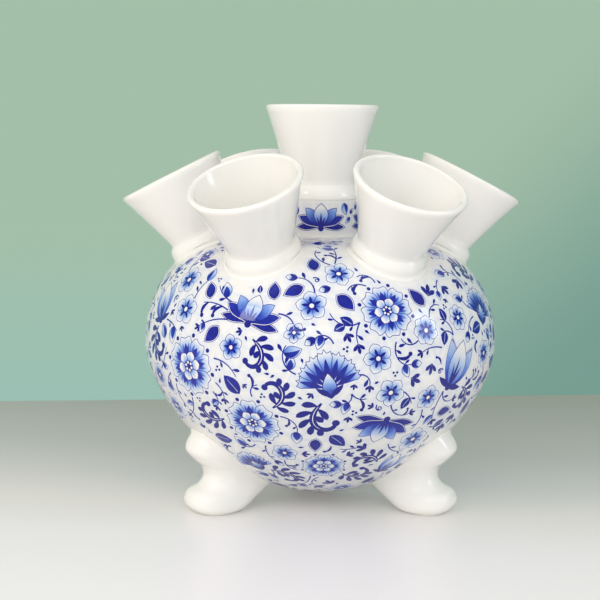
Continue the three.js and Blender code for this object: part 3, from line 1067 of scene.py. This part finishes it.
LARGE = {
    "rosette": rosette,
    "tulip": lambda size: moved(tulip(size * 1.45), y=-size * 0.7),
    "pink": lambda size: moved(pink(size * 1.22), y=-size * 0.45),
    "lotus": lambda size: moved(lotus(size * 1.12), y=-size * 0.42),
}
BLOOMS = [  # height, size, then pairs of azimuth and flower, with a lean in degrees
    (161, 21, [(-154, "pink", 14), (-112, "rosette", 0), (-68, "tulip", 20),
               (-24, "lotus", -12), (20, "rosette", 8), (64, "pink", -18),
               (108, "rosette", 0), (152, "lotus", -10)]),
    (121, 24, [(-165, "rosette", 0), (-132, "lotus", 160), (-90, "rosette", 0),
               (-46, "rosette", 14), (-2, "pink", 10), (42, "tulip", -24),
               (86, "rosette", 0), (130, "tulip", 20), (166, "rosette", 0)]),
    (81, 22, [(-152, "tulip", 12), (-110, "pink", -14), (-68, "tulip", 24),
              (-25, "rosette", 0), (20, "lotus", 168), (64, "rosette", 0),
              (110, "lotus", 8), (152, "pink", -10)]),
    (46, 17, [(-150, "rosette", 0), (-120, "lotus", 0), (-88, "rosette", 0),
              (-33, "pink", 16), (0, "rosette", 0), (34, "tulip", -16),
              (88, "rosette", 0), (120, "pink", 0), (150, "rosette", 0)]),
]
blooms = []
for height, size, row in BLOOMS:
    along = run_of_height(height)
    for azimuth, kind, lean in row:
        azimuth += random.uniform(-2, 2)
        lift = random.uniform(-3, 3)
        strokes = moved(LARGE[kind](size * random.uniform(0.95, 1.05)), angle=lean)
        theta = math.radians(azimuth)
        if is_free(strokes, theta, along + lift):
            paint(strokes, theta, along + lift)
            blooms.append((theta, along + lift, size, kind))
print("large flowers:", len(blooms))

# %% [markdown]
# The neck carries a narrow band of its own: lotus blossoms a quarter turn apart, with small
# leaves between. The blossom that would cross the chart's seam, at the back, is left out.

# %% Paint the neck
neck_middle = run_at("neck") + 12.1   # half the length of the neck's straight side
NECK_LOTUS, NECK_TRIES = 20.0, 260
neck_flowers = 0
blossom = moved(lotus(NECK_LOTUS), y=-0.42 * NECK_LOTUS)
for azimuth in (-93, -3, 87, 177):
    theta = math.radians(azimuth)
    if is_free(blossom, theta, neck_middle):
        paint(blossom, theta, neck_middle, 0.7)
        neck_flowers += 1
between = [lambda: acanthus(random.uniform(11, 14)), lambda: bud(random.uniform(9, 11)),
           lambda: leaf(random.uniform(9, 11), 20, random.choice((0, 3))),
           lambda: bird_foot(random.uniform(6, 8)), lambda: leaf(random.uniform(5, 7), 10, 1)]
for draw in between:
    for _ in range(NECK_TRIES):
        spot = random.uniform(-math.pi, math.pi), neck_middle + random.uniform(-13, 13)
        motif = moved(draw(), angle=random.uniform(0, 360), mirror=random.random() < 0.5)
        if is_free(motif, *spot):
            paint(motif, *spot, 0.6)
print("flowers on the neck:", neck_flowers)


# %% Grow a stem with its leaves
LEAF_SPACING = 7.5   # from leaf to leaf along a stem, in millimetres


def leafy(line, size, fill):
    """Leaves to either side of a stem, from its start to its end."""
    steps = len(line) - 1
    count = max(int(lengths(line).sum() / LEAF_SPACING), 1)
    made = []
    for k in range(count):
        share = (k + 0.8) / (count + 0.3)
        i = min(int(share * steps), steps - 1)
        x, y = line[i]
        lean = lean_at(line, i)
        side = 1 if (k + fill) % 2 else -1
        reach = size * random.uniform(0.8, 1.2)
        piece = leaf(reach, random.uniform(10, 34) * side, random.choice((0, 1, 1, 2)))
        if random.random() < 0.25:
            piece = comma(reach * 0.85, 90)
        made.append(moved(piece, x, y, lean + side * random.uniform(38, 60),
                          mirror=side < 0))
        made.append(moved([blade(reach * 0.5, reach * 0.1, reach * 0.09, 0, flat(0.9), 1.5, 5)],
                          x, y, lean - side * 50))
    return made


def stem_top():
    """What a stem may end in, the larger ones first."""
    choice = random.random()
    if choice < 0.3:
        return star(random.uniform(7, 9.5), random.choice((5, 6)), random.uniform(0.45, 0.75))
    if choice < 0.6:
        return bud(random.uniform(10, 14))
    if choice < 0.8:
        return leaf(random.uniform(11, 14), 10, 1)
    return bird_foot(random.uniform(7, 9))


def grow(theta, along, x, y, heading, length, bend, leaf_size, clear=2):
    """A stem with what fits on it, if the stem itself has room past its first points."""
    line = way(x, y, heading, length, bend, max(int(length / 2.5), 5), 1.2)
    if not is_free([(line[clear:], None)], theta, along):
        return False
    kept = []
    for top in (stem_top(), bud(9), leaf(8, 10, 1), bird_foot(6)):
        piece = moved(top, *line[-1], lean_at(line, -2))
        if is_free(piece, theta, along):
            kept = [piece]
            break
    kept += [piece for piece in leafy(line, leaf_size, random.randint(0, 1))
             if is_free(piece, theta, along)]
    if len(kept) < 2:
        return False
    stem = ribbon(line, (1.15, 0.95, 0.7), flat(0.78))
    paint([stem] + [stroke for piece in kept for stroke in piece], theta, along, 0.75)
    return True


# %% Find places for more motifs
def edge_of(size, kind, heading):
    """Where a stem leaves a flower at a heading."""
    reach = size * (1.06 if kind == "rosette" else 0.9)
    a = math.radians(heading)
    return reach * math.cos(a), reach * math.sin(a)


def somewhere():
    """A random place on the outside, as likely in any patch of it."""
    while True:
        row = random.randrange(ROWS)
        if random.random() < row_radius[row] / BODY_RADIUS:
            return random.uniform(-math.pi, math.pi), FIRST + row


def scatter(count, tries, draw, margin=0.9):
    """Sets up to `count` motifs down wherever they fit, and gives their places."""
    places = []
    for _ in range(tries):
        theta, along = somewhere()
        motif = moved(draw(), angle=random.uniform(0, 360), mirror=random.random() < 0.5)
        if is_free(motif, theta, along):
            paint(motif, theta, along, margin)
            places.append((theta, along))
            if len(places) == count:
                break
    return places


# %% Set out scrolls, leaves and stems
small_blooms = scatter(40, 3000, lambda: star(random.uniform(8.5, 12.5), random.choice((5, 6, 7)),
                                              random.uniform(0.4, 0.8)), 1.5)
HEADINGS = range(0, 360, 20)
scrolls = stems = 0
for theta, along, size, kind in blooms:
    for heading in random.sample(HEADINGS, len(HEADINGS)):
        x, y = edge_of(size, kind, heading)
        scroll = moved(acanthus(random.uniform(23, 30)), x, y,
                       heading - 90 + random.uniform(-35, 35), mirror=random.random() < 0.5)
        if scrolls < 0.9 * len(blooms) and is_free(scroll, theta, along):
            paint(scroll, theta, along, 0.8)
            scrolls += 1
            if random.random() < 0.7:
                break
big_leaves = scatter(46, 2500, lambda: leaf(random.uniform(14, 17.5), random.uniform(-25, 25),
                                            random.choice((2, 3, 3))))
three_toes = scatter(40, 2500, lambda: bird_foot(random.uniform(8.5, 11)))
growing = blooms + [(theta, along, 9.5, "rosette") for theta, along in small_blooms]
for theta, along, size, kind in growing:
    for heading in random.sample(HEADINGS, len(HEADINGS)):
        x, y = edge_of(size, kind, heading)
        for _ in range(6):
            stems += grow(theta, along, x, y, heading + random.uniform(-40, 40),
                          random.uniform(12, 26), random.choice((-1, 1))
                          * random.uniform(30, 120), random.uniform(9, 13))
print("scrolls:", scrolls, "small flowers:", len(small_blooms), "large leaves:",
      len(big_leaves), "three-toed strokes:", len(three_toes), "stems:", stems,
      "free share:", round(1 - taken.mean(), 2))

# %% Fill the gaps
FILLERS = [
    (1500, lambda: star(random.uniform(9, 10.5), random.choice((5, 6)), random.uniform(0.4, 0.7))),
    (900, lambda: leaf(random.uniform(14, 17), random.uniform(-30, 30), random.choice((0, 1)))),
    (900, lambda: acanthus(random.uniform(17, 22))),
    (1200, lambda: berries(random.uniform(8, 10))),
    (2200, lambda: leaf(random.uniform(9.5, 13), random.uniform(-30, 30),
                        random.choice((0, 1, 2)))),
    (900, lambda: bud(random.uniform(8, 10))),
    (1800, lambda: bird_foot(random.uniform(6, 9))),
    (1800, lambda: comma(random.uniform(7, 11), random.choice((-1, 1)) * random.uniform(80, 150))),
    (1500, lambda: leaf(random.uniform(6, 9), random.uniform(-30, 30), random.choice((0, 1, 2)))),
    (700, lambda: tendril(random.uniform(4, 6))),
    (1500, lambda: bird_foot(random.uniform(4.2, 6))),
    (2500, lambda: dots(random.uniform(1.3, 1.6))),
    (3000, lambda: [blade(random.uniform(3.5, 5), 1.0, 0.9, 0, flat(0.88), 1.4, 5)]),
]
SPRIG_TRIES = 1500
sprigs = placed = 0
for _ in range(SPRIG_TRIES):
    sprigs += grow(*somewhere(), 0, 0, random.uniform(0, 360), random.uniform(9, 17),
                   random.choice((-1, 1)) * random.uniform(20, 90), random.uniform(8, 12), 0)
for tries, draw in FILLERS:
    placed += len(scatter(tries, tries, draw, 0.8))
print("sprigs:", sprigs, "fillers:", placed, "strokes in all:", len(painting),
      "free share:", round(1 - taken.mean(), 2))

# %% [markdown]
# ## Cutting the chart and rolling it up
# Blender's flat triangulation takes points and overlapping shapes and gives triangles that
# follow every edge. Each triangle then belongs to the last stroke that winds round its
# middle, and its corners take that stroke's tone. Rows of points a few millimetres apart
# keep the body round between the strokes. The throats under the leaning spouts are shapes
# too, and the triangles inside them are left out.

# %% Lay out points and shapes
chart_points, chart_edges, chart_faces = [], [], []


def add_row(along, spacing, tied=False):
    """A row of points right round the vase. A tied row is also an edge."""
    count = max(16, int(2 * math.pi * float(radius_of(along)) / spacing))
    first = len(chart_points)
    for k in range(count + 1):
        x, y = chart_of(-math.pi + 2 * math.pi * k / count, along)
        chart_points.append((x, float(y)))
    if tied:
        chart_edges.extend((first + k, first + k + 1) for k in range(count))
    return first, count


def add_rows(start, end, spacing, gap):
    """Loose rows between two ways along the outline, about a gap apart."""
    count = max(1, round((end - start) / gap))
    for k in range(1, count):
        add_row(start + (end - start) * k / count, spacing)


bottom_row = add_row(run[0], 4, True)
for along in run[(run > run[0] + 0.1) & (run < run_at("outside") + 0.01)]:
    add_row(along, 6, True)
add_rows(run_at("outside"), run_at("outside", -1), 6.5, 6)
for name in ("neck_fillet", "neck", "neck_edge", "bore"):
    step = 2 if name == "neck_fillet" else 1
    for index in range(0, len(parts[name]), step):
        add_row(run_at(name, index), 5, True)
add_rows(run_at("neck"), run_at("neck", 1), 5, 5)
add_row(run_at("inside"), 8, True)
add_rows(run_at("inside"), run_at("inside", -1), 14, 12)
add_row(run_at("inside", -1), 10, True)
top_row = add_row(run[-1], 4, True)

# %% Add the throats and the strokes
THROAT_POINTS = 40


def upper_wall(part):
    """Radii, heights and ways along the outline of a wall above the belly, innermost first."""
    line = parts[part]
    wall = np.column_stack([line, run_at(part) + ways_along(line)])
    wall = wall[line[:, 1] > BELLY_HEIGHT + 6]
    return (wall if wall[0, 0] < wall[-1, 0] else wall[::-1]).T


def throat_loop(stand, part):
    """Chart points where a spout's bore meets the outer or the inner wall."""
    radii, heights, ways = upper_wall(part)
    made = []
    for k in range(THROAT_POINTS):
        a = 2 * math.pi * k / THROAT_POINTS
        side = Vector((THROAT * math.cos(a), THROAT * math.sin(a), 0))

        def below_wall(height):
            spot = on_vase(stand, side, height)
            return spot.z < np.interp(math.hypot(spot.x, spot.y), radii, heights)

        spot = on_vase(stand, side, settle(-40.0, 20.0, 36, below_wall))
        along = np.interp(math.hypot(spot.x, spot.y), radii, ways)
        made.append(chart_of(math.atan2(spot.x, -spot.y), along))
    return np.array(made).T


def add_shape(x, y):
    """A closed shape on the chart, turned anticlockwise, and the indices of its points."""
    indices = list(range(len(chart_points), len(chart_points) + len(x)))
    area = np.sum(x * np.roll(y, -1) - np.roll(x, -1) * y)
    chart_points.extend(zip(x.tolist(), y.tolist()))
    chart_faces.append(indices if area > 0 else indices[::-1])
    return indices


throat_loops = []
for i in range(6):
    pair = [add_shape(*throat_loop(stand_of(i), part)) for part in ("outside", "inside")]
    throat_loops.append((pair, stand_of(i)))
first_stroke = len(chart_faces)   # the shapes before it are throats
for points, _, theta, along in painting:
    ways = along + points[:, 1]
    add_shape(*chart_of(theta + points[:, 0] / radius_of(ways), ways))
print("chart:", len(chart_points), "points,", len(chart_faces), "shapes")

# %% Cut the chart
EVERY_TRIANGLE, SAME_POINT = 0, 1e-3   # kind of result, and how near makes two points one
cut = delaunay_2d_cdt([Vector(p) for p in chart_points], chart_edges, chart_faces,
                      EVERY_TRIANGLE, SAME_POINT, True)
flat_points = np.array([tuple(p) for p in cut[0]])
triangles = np.array(cut[2])
middles = flat_points[triangles].mean(axis=1)
by_height = np.argsort(middles[:, 1])
heights = middles[by_height, 1]
owners = np.full(len(triangles), -1)
for shape, corners in enumerate(chart_faces):
    edge = np.array([chart_points[k] for k in corners])
    low, high = np.searchsorted(heights, (edge[:, 1].min(), edge[:, 1].max()))
    near = by_height[low:high]
    near = near[(middles[near, 0] > edge[:, 0].min()) & (middles[near, 0] < edge[:, 0].max())]
    rays = edge[None] - middles[near][:, None]
    angles = np.arctan2(rays[..., 1], rays[..., 0])
    turns = np.diff(np.concatenate([angles, angles[:, :1]], 1), axis=1)
    turns -= 2 * math.pi * np.round(turns / (2 * math.pi))   # the short way round
    owners[near[np.abs(turns.sum(1)) > math.pi]] = shape
walled = (owners < 0) | (owners >= first_stroke)
triangles, owners = triangles[walled], owners[walled]
new_index = np.zeros(len(chart_points), int)
for new, olds in enumerate(cut[3]):
    for old in olds:
        new_index[old] = new
print("triangles:", len(triangles), "painted:", int((owners >= first_stroke).sum()))

# %% Work out each corner's pigment
BLEED = 0.035    # the blue that has run out into the glaze beside a stroke
EMPTYING = 1.5   # over 1 when the brush empties fast at first
theta = flat_points[:, 0] / BODY_RADIUS
along = np.interp(flat_points[:, 1], chart_y, run)
radius = radius_of(along)
tone_table = np.array([(*tone, th, al) for _, tone, th, al in painting])
amount = np.zeros((len(triangles), 3))
is_painted = owners >= first_stroke
tones = tone_table[owners[is_painted] - first_stroke][:, None, :]
corner = triangles[is_painted]
px = (theta[corner] - tones[..., 7]) * radius[corner]
py = along[corner] - tones[..., 8]
kind, a0, b0, a1, b1, start, end = (tones[..., k] for k in range(7))
squared_length = np.maximum((a1 - a0) ** 2 + (b1 - b0) ** 2, 1e-6)
line_share = ((px - a0) * (a1 - a0) + (py - b0) * (b1 - b0)) / squared_length
ring_share = (np.hypot(px - a0, py - b0) - a1) / np.where(kind == AROUND, b1 - a1, 1)
share = np.clip(np.where(kind == ALONG, line_share, ring_share), 0, 1)
fade = 1 - (1 - share) ** EMPTYING
amount[is_painted] = np.where(kind == FLAT, start, start + (end - start) * fade)
beside_paint = np.zeros(len(flat_points), bool)
beside_paint[triangles[is_painted]] = True
amount[~is_painted] = np.where(beside_paint[triangles[~is_painted]], BLEED, 0.0)
print("mean pigment of the strokes:", round(float(amount[is_painted].mean()), 2))

# %% Roll up the chart
def turned(out, up):
    """Points or directions round the vase, from their radius and height on the outline."""
    return np.stack([out * np.sin(theta), -out * np.cos(theta), up], 1)


normal_out, normal_up = (np.interp(along, run, -part) for part in across_of(outline).T)
solid = turned(radius, np.interp(along, run, outline[:, 1]))
facing = turned(normal_out, normal_up)
facing /= np.linalg.norm(facing, axis=1)[:, None]

keys = np.round(solid * 1e4).astype(np.int64)   # one for points within 0.1 micron
_, first_of, same_as = np.unique(keys, axis=0, return_index=True, return_inverse=True)
same_as = same_as.reshape(-1)
points = solid[first_of]
corners = same_as[triangles]
whole = (corners[:, 0] != corners[:, 1]) & (corners[:, 1] != corners[:, 2]) & (
    corners[:, 2] != corners[:, 0])
faces = [tuple(c) for c in corners[whole]]
face_pigment = list(amount[whole])
face_normals = list(facing[triangles[whole]])
print("rolled up:", len(points), "points,", len(faces), "faces")

# %% Close the throats and both ends
for (outer_loop, inner_loop), stand in throat_loops:
    axis_point = np.array(stand.translation / MM)
    axis = np.array(stand.to_3x3() @ Vector((0, 0, 1)))
    outer_ids = same_as[new_index[outer_loop]]
    inner_ids = same_as[new_index[inner_loop]]
    for k in range(THROAT_POINTS):
        m = (k + 1) % THROAT_POINTS
        ring = (outer_ids[k], inner_ids[k], inner_ids[m], outer_ids[m])
        gaps = axis_point - points[list(ring)]
        gaps -= (gaps @ axis)[:, None] * axis
        inward = gaps / np.linalg.norm(gaps, axis=1)[:, None]
        turn = np.cross(points[ring[1]] - points[ring[0]], points[ring[2]] - points[ring[0]])
        order = (0, 1, 2, 3) if turn @ inward[0] > 0 else (3, 2, 1, 0)
        faces.append(tuple(ring[o] for o in order))
        face_pigment.append(np.zeros(4))
        face_normals.append(inward[list(order)])
for (first, count), down in ((bottom_row, -1), (top_row, 1)):
    ring = same_as[new_index[first:first + count]]
    flat_turn = np.cross(points[ring[1]] - points[ring[0]], points[ring[2]] - points[ring[0]])
    ring = ring if flat_turn[2] * down > 0 else ring[::-1]
    faces.append(tuple(ring))
    face_pigment.append(np.zeros(len(ring)))
    face_normals.append(np.tile((0, 0, float(down)), (len(ring), 1)))
print("closed:", len(faces), "faces")

# %% Make the painted body
mesh = bpy.data.meshes.new("painted_body")
mesh.from_pydata((points * MM).tolist(), [], faces)
store = mesh.attributes.new("pigment", "FLOAT", "CORNER")
store.data.foreach_set("value", np.concatenate(face_pigment).astype(np.float32))
mesh.polygons.foreach_set("use_smooth", [True] * len(mesh.polygons))
mesh.update()
mesh.normals_split_custom_set(np.concatenate(face_normals).tolist())
body = bpy.data.objects.new("painted_body", mesh)
bpy.context.scene.collection.objects.link(body)
hand_in(body, ["vase_body"], painted_glaze)

# %% [markdown]
# ## Table and light
# The vase stands on a plain pale table. Camera and glossy rays see it brightest in front of the
# vase, towards the camera, by a painted glow, and darker towards its far edge and right side, by
# painted shade. They also see a pale green wall behind it, with painted shade at its lower right.
# Soft light bounces off an even pale table and comes from an even grey room, so that the white
# glaze stays white.
# Two wide cards above and in front of the vase and a warm one to its left give most of the
# light. The glaze mirrors a lamp and two windows, the right one cooler.

# %% Lay the table
def seen_rays(tree):
    """1 for the camera's rays and those that glaze or glass passes on, 0 for soft light."""
    rays = node(tree, "ShaderNodeLightPath").outputs
    direct_or_glossy = maths(tree, "ADD", rays["Is Camera Ray"], rays["Is Glossy Ray"])
    return maths(tree, "ADD", direct_or_glossy, rays["Is Transmission Ray"])


TABLE_LENGTH, TABLE_DEPTH, FAR_EDGE = 3.6, 2.6, 0.347   # metres
TABLE_TURN = math.radians(3.8)
bpy.ops.object.select_all(action="DESELECT")
bpy.ops.mesh.primitive_plane_add(size=1)
table = start_piece("table")
bpy.ops.transform.resize(value=(TABLE_LENGTH, TABLE_DEPTH, 1))
bpy.ops.transform.translate(value=(0, FAR_EDGE - TABLE_DEPTH / 2, 0))
bpy.ops.object.mode_set(mode="OBJECT")
table.data.transform(Matrix.Rotation(TABLE_TURN, 4, "Z"))

# BOUNCE is the even colour that soft light bounces off. The front's painted light is a glow that
# brightens the table in front of the vase and lifts the shadow under it.
BOUNCE, FRONT_PAINTED_LIGHT = (0.93, 0.915, 0.89, 1), 0.25
# Painted shade: for camera and glossy rays the table darkens towards its far edge and, by the slant,
# to the right, where the vase and the wall shade it, and turns a little green there as a painted
# reflection of the wall.
NEAR_END, FAR_END, SLANT = -2.2, 0.4, 0.15   # where the shades run, in metres, and their skew
TABLE_PAINTED_SHADE = [  # place between the near end and the far one, colour
    (0.0, (0.60, 0.60, 0.60)), (0.385, (0.62, 0.62, 0.62)), (0.80, (0.645, 0.63, 0.625)),
    (0.83, (0.60, 0.575, 0.535)), (0.86, (0.465, 0.465, 0.45)), (0.90, (0.36, 0.38, 0.36)),
    (1.0, (0.325, 0.34, 0.30)),
]
# Painted light: the glow's strength, highest just in front of the vase and gone at both ends.
TABLE_PAINTED_LIGHT = [(0.385, (0, 0, 0)), (0.74, (FRONT_PAINTED_LIGHT,) * 3), (1.0, (0, 0, 0))]
table_top = bpy.data.materials.new("table_top")
table_top.use_nodes = True
tree = table_top.node_tree
spot = node(tree, "ShaderNodeTexCoord")
split = node(tree, "ShaderNodeSeparateXYZ", in_Vector=spot.outputs["Object"])
skewed = maths(tree, "MULTIPLY_ADD", split.outputs["X"], SLANT, split.outputs["Y"])
reach = node(tree, "ShaderNodeMapRange", in_Value=skewed, in_From_Min=NEAR_END,
             in_From_Max=FAR_END).outputs["Result"]
seen = seen_rays(tree)
shown = node(tree, "ShaderNodeMix", data_type="RGBA", in_Factor=seen, in_A=BOUNCE,
             in_B=colour_ramp(tree, reach, TABLE_PAINTED_SHADE))
# The painted glow is emission that only camera and glossy rays see, so the glaze mirrors it too.
feed(tree, tree.nodes["Principled BSDF"], in_Roughness=0.3,
     in_Base_Color=shown.outputs["Result"], in_Emission_Color=(1, 1, 1, 1),
     in_Emission_Strength=maths(tree, "MULTIPLY", colour_ramp(tree, reach, TABLE_PAINTED_LIGHT), seen))
table.data.materials.append(table_top)
print("table:", TABLE_LENGTH, "by", TABLE_DEPTH, "m")

# %% Paint the room
WALL_GREEN, WALL_LOW = (0.37, 0.52, 0.395, 1), (0.33, 0.525, 0.45, 1)
WALL_PAINTED_SHADE, ROOM = (0.185, 0.34, 0.285, 1), (0.52, 0.51, 0.505, 1)
scene = bpy.context.scene
scene.view_settings.view_transform = "Standard"
scene.world = bpy.data.worlds.new("room")
scene.world.use_nodes = True
sky = scene.world.node_tree
look = node(sky, "ShaderNodeTexCoord")
axes = node(sky, "ShaderNodeSeparateXYZ", in_Vector=look.outputs["Generated"]).outputs
# Painted shade: camera and glossy rays see the wall darker towards the lower right.
right_and_down = maths(sky, "SUBTRACT", axes["X"], axes["Z"])
wall = WALL_GREEN
for value, low, high, colour in ((axes["Z"], -0.06, -0.22, WALL_LOW),
                                 (right_and_down, 0.16, 0.44, WALL_PAINTED_SHADE),
                                 (axes["Y"], 0.35, -0.15, ROOM)):
    share = node(sky, "ShaderNodeMapRange", interpolation_type="SMOOTHSTEP", in_Value=value,
                 in_From_Min=low, in_From_Max=high)
    wall = node(sky, "ShaderNodeMix", data_type="RGBA", in_Factor=share.outputs["Result"],
                in_A=wall, in_B=colour).outputs["Result"]
around = node(sky, "ShaderNodeMix", data_type="RGBA", in_Factor=seen_rays(sky), in_A=ROOM,
              in_B=wall)
feed(sky, sky.nodes["Background"], in_Color=around.outputs["Result"])
print("world:", scene.world.name, "with", len(sky.nodes), "nodes")


# %% Light the vase
AIM_HEIGHT = 0.16   # the lamps face a point this high on the vase's axis, in metres


def soft_box(name, towards, distance, size, brightness, colour, mirrored=True):
    """A lamp of a given brightness, seen from the vase in a direction."""
    lamp = bpy.data.lights.new(name, "AREA")
    lamp.shape, (lamp.size, lamp.size_y) = "RECTANGLE", size
    lamp.energy = brightness * math.pi * lamp.size * lamp.size_y
    lamp.color = colour
    holder = bpy.data.objects.new(name, lamp)
    scene.collection.objects.link(holder)
    aim = Vector(towards).normalized()
    holder.location = Vector((0, 0, AIM_HEIGHT)) + aim * distance
    holder.rotation_euler = aim.to_track_quat("Z", "Y").to_euler()
    holder.visible_glossy = mirrored


WHITE, WARM, COOL = (1.0, 1.0, 1.0), (1.0, 0.87, 0.79), (0.74, 0.86, 1.0)
soft_box("high_card", (-0.1, -1.0, 0.75), 2.3, (3.0, 1.0), 2.3, WHITE, False)
soft_box("low_card", (-0.1, -1.0, 0.08), 2.6, (3.4, 0.5), 1.15, WHITE, False)
soft_box("left_card", (-1.0, -0.35, 0.35), 2.2, (2.0, 1.6), 1.2, WARM, False)
soft_box("ceiling", (-0.12, -0.1, 1.0), 1.9, (2.0, 1.8), 0.25, WARM, False)
soft_box("ceiling_lamp", (-0.157, -0.87, 0.41), 2.3, (1.5, 0.36), 1.4, WHITE)
soft_box("left_window", (-0.665, -0.49, 0.564), 1.9, (0.34, 0.42), 5.2, WHITE)
soft_box("right_window", (0.888, -0.309, 0.329), 1.9, (0.46, 0.80), 3.8, COOL)
